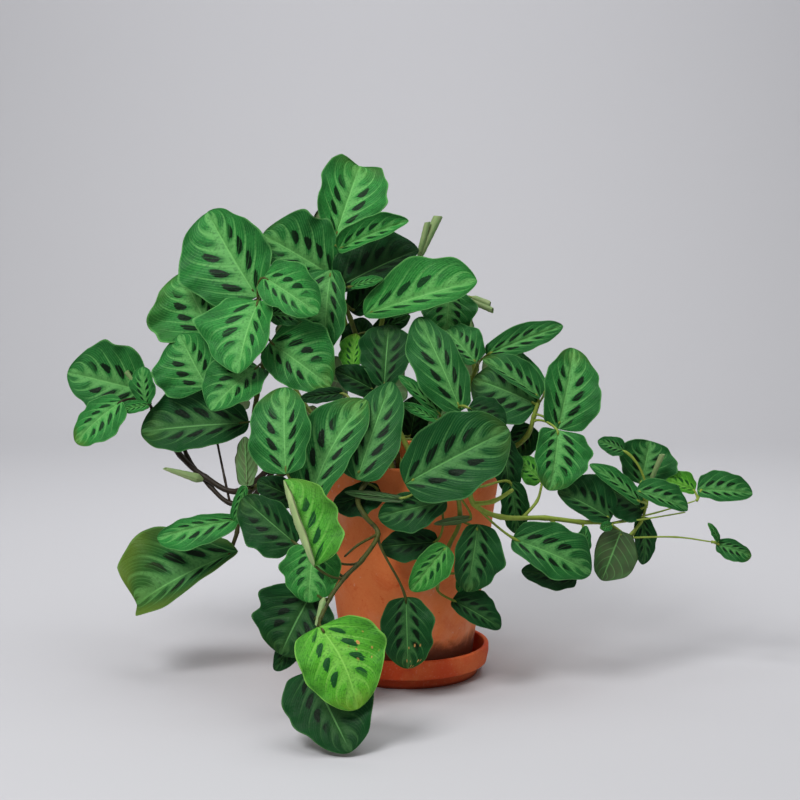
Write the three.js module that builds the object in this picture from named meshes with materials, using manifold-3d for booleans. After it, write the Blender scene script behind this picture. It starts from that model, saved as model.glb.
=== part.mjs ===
// A prayer plant (maranta) in a terracotta pot on a clay saucer.
// Millimetres, +Z up, front of the plant towards -Y. The origin is the centre of the saucer's underside.
import * as THREE from "three";
import { mergeVertices } from "three/addons/utils/BufferGeometryUtils.js";
import Module from "manifold-3d";

const wasm = await Module();
wasm.setup();

// Saucer
const SAUCER_RIM_RADIUS = 81;
const SAUCER_HEIGHT = 30;
const SAUCER_FOOT_RADIUS = 70;
const SAUCER_FLOOR = 6;
const SAUCER_WALL = 5;
const SAUCER_BAND_BOTTOM = 11;
const SAUCER_BAND_SLOPE = 2;
const SAUCER_LIP_ROUND = 1.8;
const SAUCER_BAND_EDGE = 1;
const SAUCER_FLOOR_ROUND = 2;

// Pot
const FIT_GAP = 0.3;
const POT_HEIGHT = 211.7;
const POT_TOP_RADIUS = 93.5;
const POT_BASE_RADIUS = 62.6;
const POT_WALL = 7.5;
const POT_FLOOR = 9;
const POT_LIP_ROUND = 2.6;
const POT_FOOT_ROUND = 2;
const DRAIN_RADIUS = 7;
const POT_BASE = SAUCER_FLOOR + FIT_GAP;
const POT_TOP = POT_BASE + POT_HEIGHT;
const POT_SLOPE = (POT_TOP_RADIUS - POT_BASE_RADIUS) / POT_HEIGHT;
const ROUND_SIDES = 30;
const LIP_STEPS = 2;

// Soil
const SOIL_BELOW_RIM = 18;
const SOIL_TOP = POT_TOP - SOIL_BELOW_RIM;
const SOIL_SHOULDER = 3;
const ROOT_DEPTH = 40;
const ROOT_CLEARANCE = 0.9;
const HOLE_SIDES = 6;
const ROOT_COLLAR = 8;

// Stems, stalks and blades
const STEM_RADIUS = 3.1;
const STEM_SIDES = 4;
const STEM_STEPS_PER_SPAN = 1.3;
const STALK_RADIUS = 1.3;
const STALK_SIDES = 3;
const STALK_STEP = 18;
const STALK_STEPS = 3;
const LAST_ON_STEM = 0.98;
const STALK_INTO_BLADE = 0.09;
const STALK_LEAVE = 0.3;
const STALK_ARRIVE = 0.3;
const ROLLED_SIDES = 5;
const STALK_INTO_ROLL = 0.25;
const STEM_TENSION = 0.5;
const BLADE_THICKNESS = 0.8;
const LARGE_BLADE = 62;
const LARGE_STATIONS = [0, 0.1, 0.36, 0.66, 0.89, 1];
const SMALL_STATIONS = [0, 0.16, 0.45, 0.76, 1];
const LARGE_ACROSS = [-1, -0.5, 0, 0.5, 1];
const SMALL_ACROSS = [-1, 0, 1];
const WIDEST_AT = 0.463;
const BLUNTNESS = 0.5;
const WAVE_HEIGHT = 0.05;
const WAVES = 1.6;
const WAVE_SHIFT = 2.4;
const BASE_LOBE = 0.08;
const LOBE_START = 0.1;
const CURL_START = 0.4;
const CURL_GAIN = 1.2;
const UP = new THREE.Vector3(0, 0, 1);
const OUTWARD = 0.5;
const OUTWARD_REACH = 150;
const OUTWARD_REVERSED = 0.2;
const SKYWARD = 0.3;
const NORMAL_ENDS = 0.04;
const NORMAL_STEP = 0.03;

// The eye of the photograph. A place on the plant is read as the x and y of a pixel in its 800 x 800
// frame, with its real distance in front of the pot's axis, and sight() brings it into the part's own frame.
const EYE = new THREE.Vector3(-7.4, -1658, 475.4);
const FOCAL_PIXELS = 1700;
const FRAME_CENTRE = 400;
const PITCH = THREE.MathUtils.degToRad(7);

function sight([x, y, forward]) {
  const across = x - FRAME_CENTRE;
  const up = FRAME_CENTRE - y;
  const away = FOCAL_PIXELS * Math.cos(PITCH) + up * Math.sin(PITCH);
  const rise = up * Math.cos(PITCH) - FOCAL_PIXELS * Math.sin(PITCH);
  const reach = (-forward - EYE.y) / away;
  return new THREE.Vector3(across, away, rise).multiplyScalar(reach).add(EYE);
}

// Every shoot has its root [across, forward] in the soil, its stems, its rolled young leaves and its leaves.
// The first stem starts at the root, the others from a place on the plant. A place is [x, y, forward].
// stems: [thickness as a share of the stem radius, places]
// rolled: [stem, position along it, base, tip, base radius, tip radius]
// leaves: [stem, position along it, base, tip, right half's width, left half's width, right curl, left curl,
// arch, sweep to the right, underside shows, where along it is widest if not at WIDEST_AT, depth of the
// notch at its tip if any]
// A position along a stem counts its places from 0. Curls are in degrees, arch and sweep are shares of
// the leaf's length.
const SHOOTS = {
  shoot_crown_left: {
    root: [-48, 8],
    stems: [
      [1, [[322, 434, 4], [285, 437, 6], [256, 424, 8], [257, 395, 4], [263, 366, 0], [262, 335, -8],
        [259, 303, -12], [265, 272, -14], [265, 247, -16]]],
    ],
    rolled: [],
    leaves: [
      [0, 3, [249, 423, 10], [142, 432, 2], 36, 26, 12, 14, 0.05, 0, 0, 0.55],
      [0, 5, [259, 367, 16], [211, 410, 52], 28, 23, 10, 14, 0.08, 0, 0],
      [0, 4.5, [207, 387, 16], [180, 335, 2], 28, 40, 14, 10, 0.05, 0, 0, 0.42],
      [0, 7, [259, 301, 16], [238, 373, 52], 42, 23, 12, 12, 0.08, 0, 0],
      [0, 7, [211, 333, -12], [182, 273, -38], 22, 50, 12, 12, 0.05, 0, 0, 0.38],
      [0, 7.4, [257, 297, 8], [208, 213, -30], 38, 53, 14, 12, 0.05, 0, 0],
      [0, 6, [270, 342, 12], [330, 386, 36], 27, 43, 10, 12, 0.08, 0, 0],
      [0, 5.5, [264, 277, 30], [318, 313, 50], 21, 31, 12, 10, 0.08, 0, 0],
      [0, 5.4, [271, 314, 18], [306, 317, 24], 12, 12, 10, 10, 0.06, 0, 0],
    ],
  },
  shoot_crown_top: {
    root: [-15, 0],
    stems: [
      [1, [[372, 400, -5], [362, 355, -10], [350, 318, -12], [338, 288, -12], [334, 262, -12],
        [335, 240, -10]]],
    ],
    rolled: [],
    leaves: [
      [0, 6, [335, 238, -11], [360, 165, -46], 39, 38, 24, 22, 0.02, 0, 0, 0.58, 0.16],
      [0, 5.6, [338, 250, 10], [408, 221, 10], 15, 19, 44, 40, 0.08, 0, 0],
      [0, 4.5, [331, 275, -11], [263, 235, -10], 44, 28, 12, 14, 0.06, 0, 0],
      [0, 4.5, [331, 270, 1], [325, 352, 19], 40, 21, 12, 12, 0.08, 0, 0],
      [0, 4, [339, 287, -4], [418, 250, -9], 14, 35, 12, 12, 0.06, 0, 0],
      [0, 3.5, [352, 313, -18], [386, 277, -30], 16, 18, 12, 12, 0.06, 0, 0],
      [0, 3.8, [351, 287, 12], [383, 279, 14], 5, 6, 10, 10, 0.06, 0, 0],
      [0, 1.6, [353, 368, 12], [356, 334, 4], 9, 15, 10, 10, 0.06, 0, 0],
      [0, 1.5, [374, 390, 18], [335, 370, 22], 14, 14, 10, 10, 0.06, 0, 0],
      [0, 1, [384, 388, 24], [389, 326, -4], 27, 28, 14, 14, 0.06, 0, 0, 0.58],
      [0, 1.5, [356, 364, -26], [363, 318, -36], 17, 20, 10, 10, 0.06, 0, 0],
      [0, 2.4, [374, 332, -36], [410, 316, -42], 9, 11, 10, 10, 0.06, 0, 0],
    ],
  },
  shoot_top_right: {
    root: [8, -14],
    stems: [
      [1, [[388, 400, -22], [381, 330, -20], [392, 298, -28], [407, 275, -30], [418, 259, -28]]],
      [0.7, [[392, 298, -28], [430, 288, -26], [470, 297, -22]]],
    ],
    rolled: [
      [0, 5, [418, 260, -28], [439, 215, -30], 3, 4.4],
      [0, 5, [419, 256, -26], [428, 221, -24], 2.2, 2.6],
      [1, 2, [472, 297, -22], [491, 305, -20], 2.2, 3],
      [1, 1.8, [468, 300, -20], [494, 311, -16], 2.0, 2.4],
    ],
    leaves: [
      [0, 2.2, [364, 315, 4], [476, 281, 23], 15, 36, 8, 14, 0.05, 0, 0, 0.6],
      [0, 2.5, [390, 314, -18], [427, 300, -24], 9, 7, 10, 10, 0.06, 0, 0],
      [1, 1.2, [449, 291, -20], [446, 336, -12], 27, 27, 12, 12, 0.08, 0, 0],
    ],
  },
  shoot_mid_right: {
    root: [22, 14],
    stems: [
      [1, [[425, 440, 8], [450, 420, 14], [468, 388, 6], [478, 364, 2]]],
    ],
    rolled: [],
    leaves: [
      [0, 2, [461, 411, 50], [419, 318, 14], 22, 30, 16, 16, 0.06, 0, 0],
      [0, 4, [476, 363, 20], [446, 331, 2], 23, 14, 14, 14, 0.08, 0, 0],
      [0, 1.8, [468, 408, 72], [505, 428, 84], 5, 18, 10, 14, 0.08, 0, 0],
      [0, 1, [440, 414, 44], [399, 376, 40], 8, 7, 20, 20, 0.06, 0, 0],
      [0, 1, [437, 420, 56], [402, 404, 54], 6, 6, 20, 20, 0.06, 0, 0],
      [0, 4, [486, 355, 6], [562, 326, -6], 13, 15, 10, 14, 0.1, 0, 0],
    ],
  },
  shoot_right: {
    root: [50, 12],
    stems: [
      [1, [[482, 434, 16], [508, 448, 24], [527, 436, 34], [534, 416, 40], [539, 401, 40]]],
    ],
    rolled: [],
    leaves: [
      [0, 5, [540, 398, 44], [483, 360, 32], 20, 6, 14, 20, 0.06, 0, 0],
      [0, 4.5, [537, 405, 30], [474, 379, 10], 28, 37, 10, 14, 0.06, 0, 0, 0.42],
      [0, 4.5, [545, 393, 16], [508, 350, -10], 9, 14, 14, 14, 0.06, 0, 0],
      [0, 4, [558, 429, 46], [573, 349, 10], 31, 26, 12, 14, 0.06, 0, 0, 0.43],
      [0, 3.6, [558, 430, 60], [549, 490, 78], 23, 33, 14, 14, 0.1, 0, 0, 0.4],
      [0, 2.5, [531, 425, 20], [509, 456, 12], 16, 17, 10, 10, 0.06, 0, 0],
      [0, 1.5, [502, 440, 50], [509, 494, 60], 14, 14, 12, 12, 0.08, 0, 0],
    ],
  },
  shoot_far_right: {
    root: [36, 50],
    stems: [
      [1, [[440, 446, 62], [456, 458, 86], [468, 482, 106], [474, 504, 104], [501, 517, 98],
        [545, 518, 84], [580, 522, 70], [607, 524, 62], [632, 541, 55]]],
      [0.85, [[474, 504, 104], [494, 501, 112], [514, 489, 116]]],
      [0.6, [[522, 516, 92], [537, 501, 80], [542, 484, 56]]],
      [0.6, [[632, 541, 55], [641, 522, 52], [646, 507, 50]]],
      [0.35, [[607, 524, 62], [645, 519, 60], [687, 512, 56]]],
      [0.35, [[607, 524, 62], [655, 513, 50], [698, 500, 40]]],
      [0.35, [[632, 541, 55], [675, 537, 50], [713, 542, 47]]],
    ],
    rolled: [
      [3, 2, [651, 480, 44], [663, 453, 54], 1.6, 2.2],
    ],
    leaves: [
      [2, 2, [541, 481, 52], [517, 459, 46], 12, 14, 10, 10, 0.06, 0, 0],
      [0, 4, [512, 539, 98], [590, 573, 92], 22, 30, 14, 14, 0.1, 0, 0, 0.5],
      [0, 6, [577, 578, 76], [522, 571, 74], 14, 15, 10, 10, 0.06, 0, 0],
      [0, 7, [577, 562, 82], [586, 526, 82], 8, 9, 10, 10, 0.06, 0, 0],
      [0, 3, [511, 482, 70], [516, 533, 74], 14, 13, 14, 14, 0.06, 0, 0],
      [3, 2, [640, 503, 66], [590, 465, 72], 10, 8, 10, 10, 0.08, 0, 0],
      [0, 8, [611, 519, 66], [558, 491, 66], 28, 13, 10, 14, 0.06, 0, 0],
      [3, 2, [644, 511, 50], [600, 484, 48], 15, 21, 10, 10, 0.06, 0, 0],
      [3, 2, [640, 484, 38], [650, 441, 30], 26, 34, 18, 18, 0.06, 0, 0, 0.55, 0.06],
      [3, 2, [624, 451, 56], [598, 441, 58], 9, 9, 10, 10, 0.06, 0, 0],
      [3, 2, [636, 491, 68], [687, 510, 66], 7, 17, 10, 14, 0.1, 0, 0],
      [5, 2, [695, 491, 36], [662, 480, 38], 13, 7, 12, 12, 0.08, 0, 0],
      [5, 2, [697, 490, 36], [754, 494, 28], 12, 20, 12, 12, 0.08, 0, 0, 0.4],
      [6, 2, [716, 544, 46], [751, 556, 46], 13, 8, 12, 12, 0.08, 0, 0],
      [6, 2, [718, 542, 50], [708, 523, 50], 3.5, 3.5, 10, 10, 0.1, 0, 0],
      [0, 9, [621, 531, 70], [602, 580, 65], 25, 18, 12, 12, 0.08, 0, 1, 0.5],
      [0, 9, [641, 517, 42], [643, 564, 38], 11, 11, 12, 12, 0.08, 0, 0],
      [0, 8, [612, 525, 74], [600, 528, 76], 5, 5, 10, 10, 0.06, 0, 0],
    ],
  },
  shoot_far_left: {
    root: [-55, 24],
    stems: [
      [1.2, [[320, 438, 32], [285, 455, 34], [240, 491, 22], [205, 477, 10], [180, 455, -4], [163, 428, -18],
        [150, 405, -18]]],
      [1, [[285, 455, 34], [252, 498, 24], [230, 503, 20], [210, 486, 8], [188, 458, -12], [180, 430, -20]]],
      [0.5, [[230, 503, 20], [225, 480, 14], [217, 441, -8], [214, 425, -14]]],
    ],
    rolled: [
      [0, 4, [203, 480, 12], [163, 468, 14], 5, 1],
      [0, 7, [133, 381, 6], [126, 371, 6], 1.1, 2],
    ],
    leaves: [
      [0, 7, [143, 391, -12], [66, 372, -14], 41, 33, 12, 12, 0.06, 0, 0],
      [0, 7, [122, 401, 9], [76, 442, 13], 15, 25, 12, 14, 0.08, 0, 0],
      [0, 7, [147, 405, 6], [143, 367, 4], 13, 12, 16, 16, 0.08, 0, 0, 0.55],
      [0, 7, [149, 405, 8], [121, 411, 10], 6, 6, 10, 10, 0.08, 0, 0],
    ],
  },
  shoot_low_left: {
    root: [-52, 44],
    stems: [
      [1, [[324, 440, 72], [290, 470, 84], [254, 488, 66], [240, 512, 44], [237, 532, 36],
        [232, 547, 30]]],
    ],
    rolled: [],
    leaves: [
      [0, 3, [247, 486, 74], [245, 437, 68], 11, 11, 12, 12, 0.08, 0, 1],
      [0, 3.4, [238, 519, 66], [158, 538, 60], 11, 22, 10, 14, 0.06, 0, 0, 0.56],
      [0, 3, [246, 486, 78], [235, 525, 66], 7, 6, 10, 10, 0.04, 0, 0],
      [0, 6, [238, 551, 40], [136, 604, 40], 53, 20, 12, 14, 0.08, 0, 0, 0.66, 0.16],
    ],
  },
  shoot_front: {
    root: [-26, 58],
    stems: [
      [1, [[372, 440, 84], [345, 466, 100], [318, 488, 106], [306, 502, 110]]],
    ],
    rolled: [],
    leaves: [
      [0, 3, [286, 474, 138], [285, 388, 104], 25, 34, 12, 12, 0.06, 0, 0],
      [0, 4, [311, 500, 128], [366, 401, 84], 23, 34, 12, 12, 0.06, -0.05, 0],
      [0, 2, [357, 480, 113], [391, 383, 66], 30, 22, 12, 12, 0.06, 0, 0, 0.4],
      [0, 2, [380, 490, 93], [333, 506, 97], 12, 19, 10, 10, 0.06, 0, 0],
      [0, 1, [343, 393, 66], [300, 399, 68], 7, 8, 10, 10, 0.06, 0, 0],
      [0, 4, [297, 499, 98], [258, 481, 94], 13, 16, 10, 10, 0.06, 0, 0],
    ],
  },
  shoot_front_right: {
    root: [15, 62],
    stems: [
      [1, [[416, 446, 92], [422, 480, 106], [440, 505, 102]]],
    ],
    rolled: [],
    leaves: [
      [0, 2, [405, 484, 128], [508, 430, 112], 39, 38, 12, 12, 0.07, 0, 0, 0.5],
      [0, 3, [447, 501, 109], [379, 517, 107], 17, 22, 16, 16, 0.06, 0, 0, 0.55],
      [0, 3, [438, 542, 102], [381, 547, 99], 15, 17, 10, 10, 0.06, 0, 0],
      [0, 2, [404, 499, 116], [345, 492, 114], 5, 4, 10, 10, 0.06, 0, 1],
    ],
  },
  shoot_low_front: {
    root: [26, 64],
    stems: [
      [0.9, [[436, 446, 92], [452, 472, 108], [460, 518, 98], [449, 546, 94], [440, 572, 90],
        [437, 590, 86]]],
    ],
    rolled: [],
    leaves: [
      [0, 3, [478, 524, 106], [467, 591, 100], 19, 27, 12, 12, 0.08, 0, 0],
      [0, 4, [447, 546, 112], [411, 590, 110], 13, 19, 12, 12, 0.08, 0, 0],
      [0, 6, [452, 600, 90], [500, 628, 92], 12, 19, 12, 12, 0.08, 0, 0],
      [0, 5, [462, 574, 90], [459, 592, 90], 5, 5, 10, 10, 0.06, 0, 0],
      [0, 2.4, [472, 518, 110], [434, 524, 113], 4, 4, 10, 10, 0.12, 0, 1],
    ],
  },
  shoot_trailing: {
    root: [-8, 68],
    stems: [
      [0.95, [[394, 445, 95], [372, 474, 102], [358, 498, 108], [365, 516, 113], [378, 534, 118],
        [362, 560, 150], [346, 576, 172], [330, 598, 196], [318, 624, 226]]],
      [0.5, [[376, 531, 121], [358, 545, 142], [344, 557, 160]]],
    ],
    rolled: [
      [0, 8, [324, 598, 204], [316, 627, 218], 2.6, 1.2],
    ],
    leaves: [
      [0, 5, [406, 597, 112], [408, 668, 116], 25, 26, 12, 12, 0.08, 0, 0],
      [0, 7, [314, 545, 156], [309, 602, 172], 26, 30, 10, 12, 0.1, 0, 0],
      [0, 7, [314, 567, 192], [284, 481, 158], 38, 21, 10, 110, 0.04, 0, 0],
      [0, 6, [296, 544, 128], [243, 498, 108], 20, 29, 12, 12, 0.06, 0, 0, 0.42],
      [0, 8, [312, 593, 156], [281, 654, 168], 40, 35, 12, 12, 0.08, 0, 0, 0.45],
      [0, 8, [303, 634, 146], [275, 670, 154], 11, 13, 12, 12, 0.08, 0, 0],
      [0, 9, [319, 627, 238], [358, 711, 262], 39, 41, 10, 10, 0.1, -0.08, 0, 0.44],
      [0, 8.6, [310, 670, 212], [352, 755, 270], 35, 51, 8, 8, 0.06, 0, 0, 0.4],
    ],
  },
  shoot_back_left: {
    root: [-44, -38],
    stems: [
      [1, [[328, 430, -54], [304, 404, -76], [286, 372, -92], [262, 350, -102], [240, 332, -108],
        [232, 316, -110]]],
    ],
    rolled: [],
    leaves: [
      [0, 6, [232, 316, -112], [222, 246, -104], 27, 27, 12, 12, 0.08, 0, 1],
      [0, 5, [238, 332, -112], [186, 306, -134], 24, 22, 12, 12, 0.08, 0, 1],
      [0, 4.6, [240, 360, -108], [190, 386, -140], 24, 22, 12, 12, 0.08, 0, 1],
      [0, 4, [240, 396, -112], [198, 432, -142], 22, 20, 12, 12, 0.08, 0, 1],
      [0, 3, [292, 356, -100], [303, 308, -124], 20, 22, 12, 12, 0.08, 0, 1],
      [0, 2, [300, 410, -88], [290, 450, -140], 26, 26, 12, 12, 0.1, 0, 1],
    ],
  },
  shoot_back_crown: {
    root: [-6, -30],
    stems: [
      [1, [[372, 420, -46], [362, 380, -60], [350, 340, -66], [342, 306, -64], [338, 270, -54]]],
    ],
    rolled: [],
    leaves: [
      [0, 5, [338, 268, -56], [350, 190, -84], 29, 27, 14, 14, 0.06, 0, 1],
      [0, 4, [336, 296, -74], [286, 250, -76], 27, 26, 12, 12, 0.08, 0, 1],
      [0, 4, [352, 300, -76], [404, 272, -92], 22, 22, 12, 12, 0.08, 0, 1],
      [0, 2, [346, 384, -80], [302, 376, -118], 24, 24, 12, 12, 0.08, 0, 1],
      [0, 1.6, [382, 399, -72], [396, 354, -126], 26, 26, 12, 12, 0.08, 0, 1],
      [0, 1, [410, 438, -56], [418, 396, -64], 16, 18, 10, 10, 0.06, 0, 0],
    ],
  },
  shoot_back_right: {
    root: [34, -42],
    stems: [
      [1, [[448, 430, -58], [462, 404, -76], [474, 376, -86], [470, 344, -88]]],
    ],
    rolled: [],
    leaves: [
      [0, 4, [462, 342, -92], [428, 296, -96], 20, 25, 12, 12, 0.08, 0, 1],
      [0, 3, [482, 376, -92], [524, 372, -116], 20, 20, 12, 12, 0.08, 0, 1],
      [0, 3, [470, 380, -90], [438, 340, -126], 26, 24, 12, 12, 0.08, 0, 1],
      [0, 1.4, [464, 424, -82], [474, 450, -146], 28, 28, 12, 12, 0.1, 0, 1],
    ],
  },
  shoot_back_low: {
    root: [4, -64],
    stems: [
      [1, [[400, 431, -88], [398, 440, -104], [388, 480, -118], [388, 520, -118], [390, 556, -114]]],
      [0.8, [[398, 440, -104], [368, 440, -118], [342, 450, -130], [324, 472, -136]]],
      [0.8, [[398, 440, -104], [430, 440, -116], [456, 452, -130], [468, 478, -136]]],
    ],
    rolled: [],
    leaves: [
      [0, 5, [392, 558, -118], [400, 618, -124], 27, 27, 12, 12, 0.08, 0, 1],
      [0, 4, [382, 522, -124], [342, 572, -140], 26, 20, 12, 12, 0.08, 0, 1],
      [0, 4, [398, 520, -124], [444, 564, -144], 20, 25, 12, 12, 0.08, 0, 1],
      [0, 3, [388, 482, -126], [394, 536, -164], 28, 28, 12, 12, 0.1, 0, 1],
      [1, 3, [322, 474, -138], [304, 428, -160], 26, 26, 12, 12, 0.08, 0, 1],
      [1, 3, [326, 476, -138], [340, 534, -168], 25, 24, 12, 12, 0.08, 0, 1],
      [1, 1.6, [350, 448, -134], [356, 402, -166], 26, 26, 12, 12, 0.1, 0, 1],
      [2, 3, [468, 480, -138], [488, 424, -160], 24, 24, 12, 12, 0.08, 0, 1],
      [2, 3, [464, 482, -138], [450, 538, -168], 25, 24, 12, 12, 0.08, 0, 1],
      [2, 1.6, [442, 444, -136], [426, 398, -166], 24, 26, 12, 12, 0.1, 0, 1],
    ],
  },
};

// Solids
function solid(geometry) {
  const bare = geometry.clone();
  bare.deleteAttribute("normal");
  bare.deleteAttribute("uv");
  const merged = mergeVertices(bare, 1e-4);
  const triVerts = Uint32Array.from(merged.index.array);
  const vertProperties = Float32Array.from(merged.attributes.position.array);
  return new wasm.Manifold(new wasm.Mesh({ numProp: 3, vertProperties, triVerts }));
}

function geometryOf(body) {
  const mesh = body.getMesh();
  const count = mesh.vertProperties.length / mesh.numProp;
  const positions = new Float32Array(count * 3);
  for (let i = 0; i < count; i += 1) {
    positions.set(mesh.vertProperties.subarray(i * mesh.numProp, i * mesh.numProp + 3), i * 3);
  }
  const geometry = new THREE.BufferGeometry();
  geometry.setAttribute("position", new THREE.BufferAttribute(positions, 3));
  geometry.setIndex(Array.from(mesh.triVerts));
  geometry.computeVertexNormals();
  return geometry;
}

function largest(body) {
  return body.decompose().reduce((most, part) => (part.volume() > most.volume() ? part : most));
}

// One grown body. A pocket closed off where blades meet is filled, and loose slivers are dropped.
function joined(bodies) {
  const whole = bodies.reduce((sum, body) => sum.add(body));
  return largest(solid(geometryOf(largest(whole))));
}

// A body turned about the vertical axis from a closed outline of [radius, height].
function turned(outline) {
  const points = outline.map(([radius, height]) => new THREE.Vector2(radius, height));
  return new THREE.LatheGeometry(points, ROUND_SIDES).rotateX(Math.PI / 2);
}

// Points on an arc round a centre, angles in degrees from the outward direction.
function arc(radius, height, round, from, to) {
  const points = [];
  for (let i = 0; i <= LIP_STEPS; i += 1) {
    const angle = THREE.MathUtils.degToRad(from + ((to - from) * i) / LIP_STEPS);
    points.push([radius + round * Math.cos(angle), height + round * Math.sin(angle)]);
  }
  return points;
}

function saucer() {
  const bandFoot = SAUCER_RIM_RADIUS - SAUCER_BAND_SLOPE;
  const inside = SAUCER_RIM_RADIUS - SAUCER_WALL;
  const lipHeight = SAUCER_HEIGHT - SAUCER_LIP_ROUND;
  return solid(turned([
    [0, 0],
    [SAUCER_FOOT_RADIUS, 0],
    [SAUCER_FOOT_RADIUS + SAUCER_BAND_EDGE, SAUCER_BAND_BOTTOM - SAUCER_BAND_EDGE],
    [bandFoot - SAUCER_BAND_EDGE, SAUCER_BAND_BOTTOM],
    [bandFoot, SAUCER_BAND_BOTTOM + SAUCER_BAND_EDGE],
    ...arc(SAUCER_RIM_RADIUS - SAUCER_LIP_ROUND, lipHeight, SAUCER_LIP_ROUND, 0, 90),
    ...arc(inside + SAUCER_LIP_ROUND, lipHeight, SAUCER_LIP_ROUND, 90, 180),
    [SAUCER_FOOT_RADIUS, SAUCER_FLOOR + SAUCER_FLOOR_ROUND],
    [SAUCER_FOOT_RADIUS - SAUCER_FLOOR_ROUND, SAUCER_FLOOR],
    [0, SAUCER_FLOOR],
  ]));
}

function potRadius(height) {
  return POT_BASE_RADIUS + (height - POT_BASE) * POT_SLOPE;
}

function pot() {
  const lipHeight = POT_TOP - POT_LIP_ROUND;
  const floorTop = POT_BASE + POT_FLOOR;
  return solid(turned([
    [DRAIN_RADIUS, POT_BASE],
    [POT_BASE_RADIUS - POT_FOOT_ROUND, POT_BASE],
    [potRadius(POT_BASE + POT_FOOT_ROUND), POT_BASE + POT_FOOT_ROUND],
    ...arc(POT_TOP_RADIUS - POT_LIP_ROUND, lipHeight, POT_LIP_ROUND, 0, 90),
    ...arc(POT_TOP_RADIUS - POT_WALL + POT_LIP_ROUND, lipHeight, POT_LIP_ROUND, 90, 180),
    [potRadius(floorTop) - POT_WALL, floorTop + POT_FOOT_ROUND],
    [potRadius(floorTop) - POT_WALL - POT_FOOT_ROUND, floorTop],
    [DRAIN_RADIUS, floorTop],
    [DRAIN_RADIUS, POT_BASE],
  ]));
}

function upright([across, forward], radius, bottom, top, sides) {
  const geometry = new THREE.CylinderGeometry(radius, radius, top - bottom, sides);
  return solid(geometry.rotateX(Math.PI / 2).translate(across, -forward, (top + bottom) / 2));
}

function rootThickness(shoot) {
  return shoot.stems[0][0] * STEM_RADIUS;
}

function soil() {
  const floor = POT_BASE + POT_FLOOR + FIT_GAP;
  const inside = (height) => potRadius(height) - POT_WALL - FIT_GAP;
  const shoulder = SOIL_TOP - SOIL_SHOULDER;
  const body = solid(turned([
    [0, floor],
    [inside(floor) - 2 * POT_FOOT_ROUND, floor],
    [inside(floor) - FIT_GAP, floor + POT_FOOT_ROUND + FIT_GAP],
    [inside(shoulder), shoulder],
    [inside(shoulder) - 2 * SOIL_SHOULDER, SOIL_TOP],
    [0, SOIL_TOP],
  ]));
  const holes = Object.values(SHOOTS).map((shoot) => upright(
    shoot.root,
    rootThickness(shoot) + ROOT_CLEARANCE,
    SOIL_TOP - ROOT_DEPTH,
    SOIL_TOP + ROOT_COLLAR,
    HOLE_SIDES,
  ));
  return holes.reduce((ground, hole) => ground.subtract(hole), body);
}

function tube(curve, radius, sides, steps) {
  const corners = Array.from({ length: sides }, (_, i) => {
    const angle = (2 * Math.PI * i) / sides;
    return new THREE.Vector2(radius * Math.cos(angle), radius * Math.sin(angle));
  });
  const section = new THREE.Shape(corners);
  return solid(new THREE.ExtrudeGeometry(section, { extrudePath: curve, steps, bevelEnabled: false }));
}

function stemSteps(curve) {
  return Math.round((curve.points.length - 1) * STEM_STEPS_PER_SPAN);
}

// The place on the straight lengths of a stem that is nearest to a point.
function onStem(curve, point) {
  const joints = curve.getSpacedPoints(stemSteps(curve));
  const spots = joints.slice(1).map((joint, number) => (
    new THREE.Line3(joints[number], joint).closestPointToPoint(point, true, new THREE.Vector3())
  ));
  return spots.reduce((best, spot) => (spot.distanceTo(point) < best.distanceTo(point) ? spot : best));
}

function stemCurves(shoot) {
  const [across, forward] = shoot.root;
  const foot = new THREE.Vector3(across, -forward, SOIL_TOP + ROOT_COLLAR / 2);
  const curves = [];
  shoot.stems.forEach(([, places], number) => {
    const points = places.map(sight);
    if (number === 0) {
      points.unshift(foot);
    } else {
      const spots = curves.map((curve) => onStem(curve, points[0]));
      points[0] = spots.reduce((best, spot) => (
        spot.distanceTo(points[0]) < best.distanceTo(points[0]) ? spot : best
      ));
    }
    curves.push(new THREE.CatmullRomCurve3(points, false, "catmullrom", STEM_TENSION));
  });
  return curves;
}

function stems(shoot, curves) {
  const root = upright(
    shoot.root,
    rootThickness(shoot),
    SOIL_TOP - ROOT_DEPTH + FIT_GAP,
    SOIL_TOP + ROOT_COLLAR,
    STEM_SIDES,
  );
  const runs = curves.map((curve, number) => tube(
    curve,
    shoot.stems[number][0] * STEM_RADIUS,
    STEM_SIDES,
    stemSteps(curve),
  ));
  return [root, ...runs];
}

// A leaf stalk leaves its stem along the stem and arrives in line with what it carries.
function stalk(curve, position, end, heading) {
  const along = Math.min(position / (curve.points.length - 1), LAST_ON_STEM);
  const start = onStem(curve, curve.getPoint(along));
  const reach = start.distanceTo(end);
  const leave = start.clone().addScaledVector(curve.getTangent(along), reach * STALK_LEAVE);
  const arrive = end.clone().addScaledVector(heading, -reach * STALK_ARRIVE);
  const path = new THREE.CubicBezierCurve3(start, leave, arrive, end);
  const steps = Math.min(Math.ceil(reach / STALK_STEP), STALK_STEPS);
  return tube(new THREE.CatmullRomCurve3(path.getPoints(steps)), STALK_RADIUS, STALK_SIDES, steps);
}

function rolledLeaf(curves, [stem, position, basePlace, tipPlace, baseRadius, tipRadius]) {
  const base = sight(basePlace);
  const tip = sight(tipPlace);
  const heading = tip.clone().sub(base).normalize();
  const length = base.distanceTo(tip);
  const geometry = new THREE.CylinderGeometry(tipRadius, baseRadius, length, ROLLED_SIDES);
  const up = new THREE.Vector3(0, 1, 0);
  geometry.applyQuaternion(new THREE.Quaternion().setFromUnitVectors(up, heading));
  geometry.translate(...base.clone().add(tip).multiplyScalar(0.5));
  const foot = base.clone().addScaledVector(heading, length * STALK_INTO_ROLL);
  return [solid(geometry), stalk(curves[stem], position, foot, heading)];
}

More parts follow.
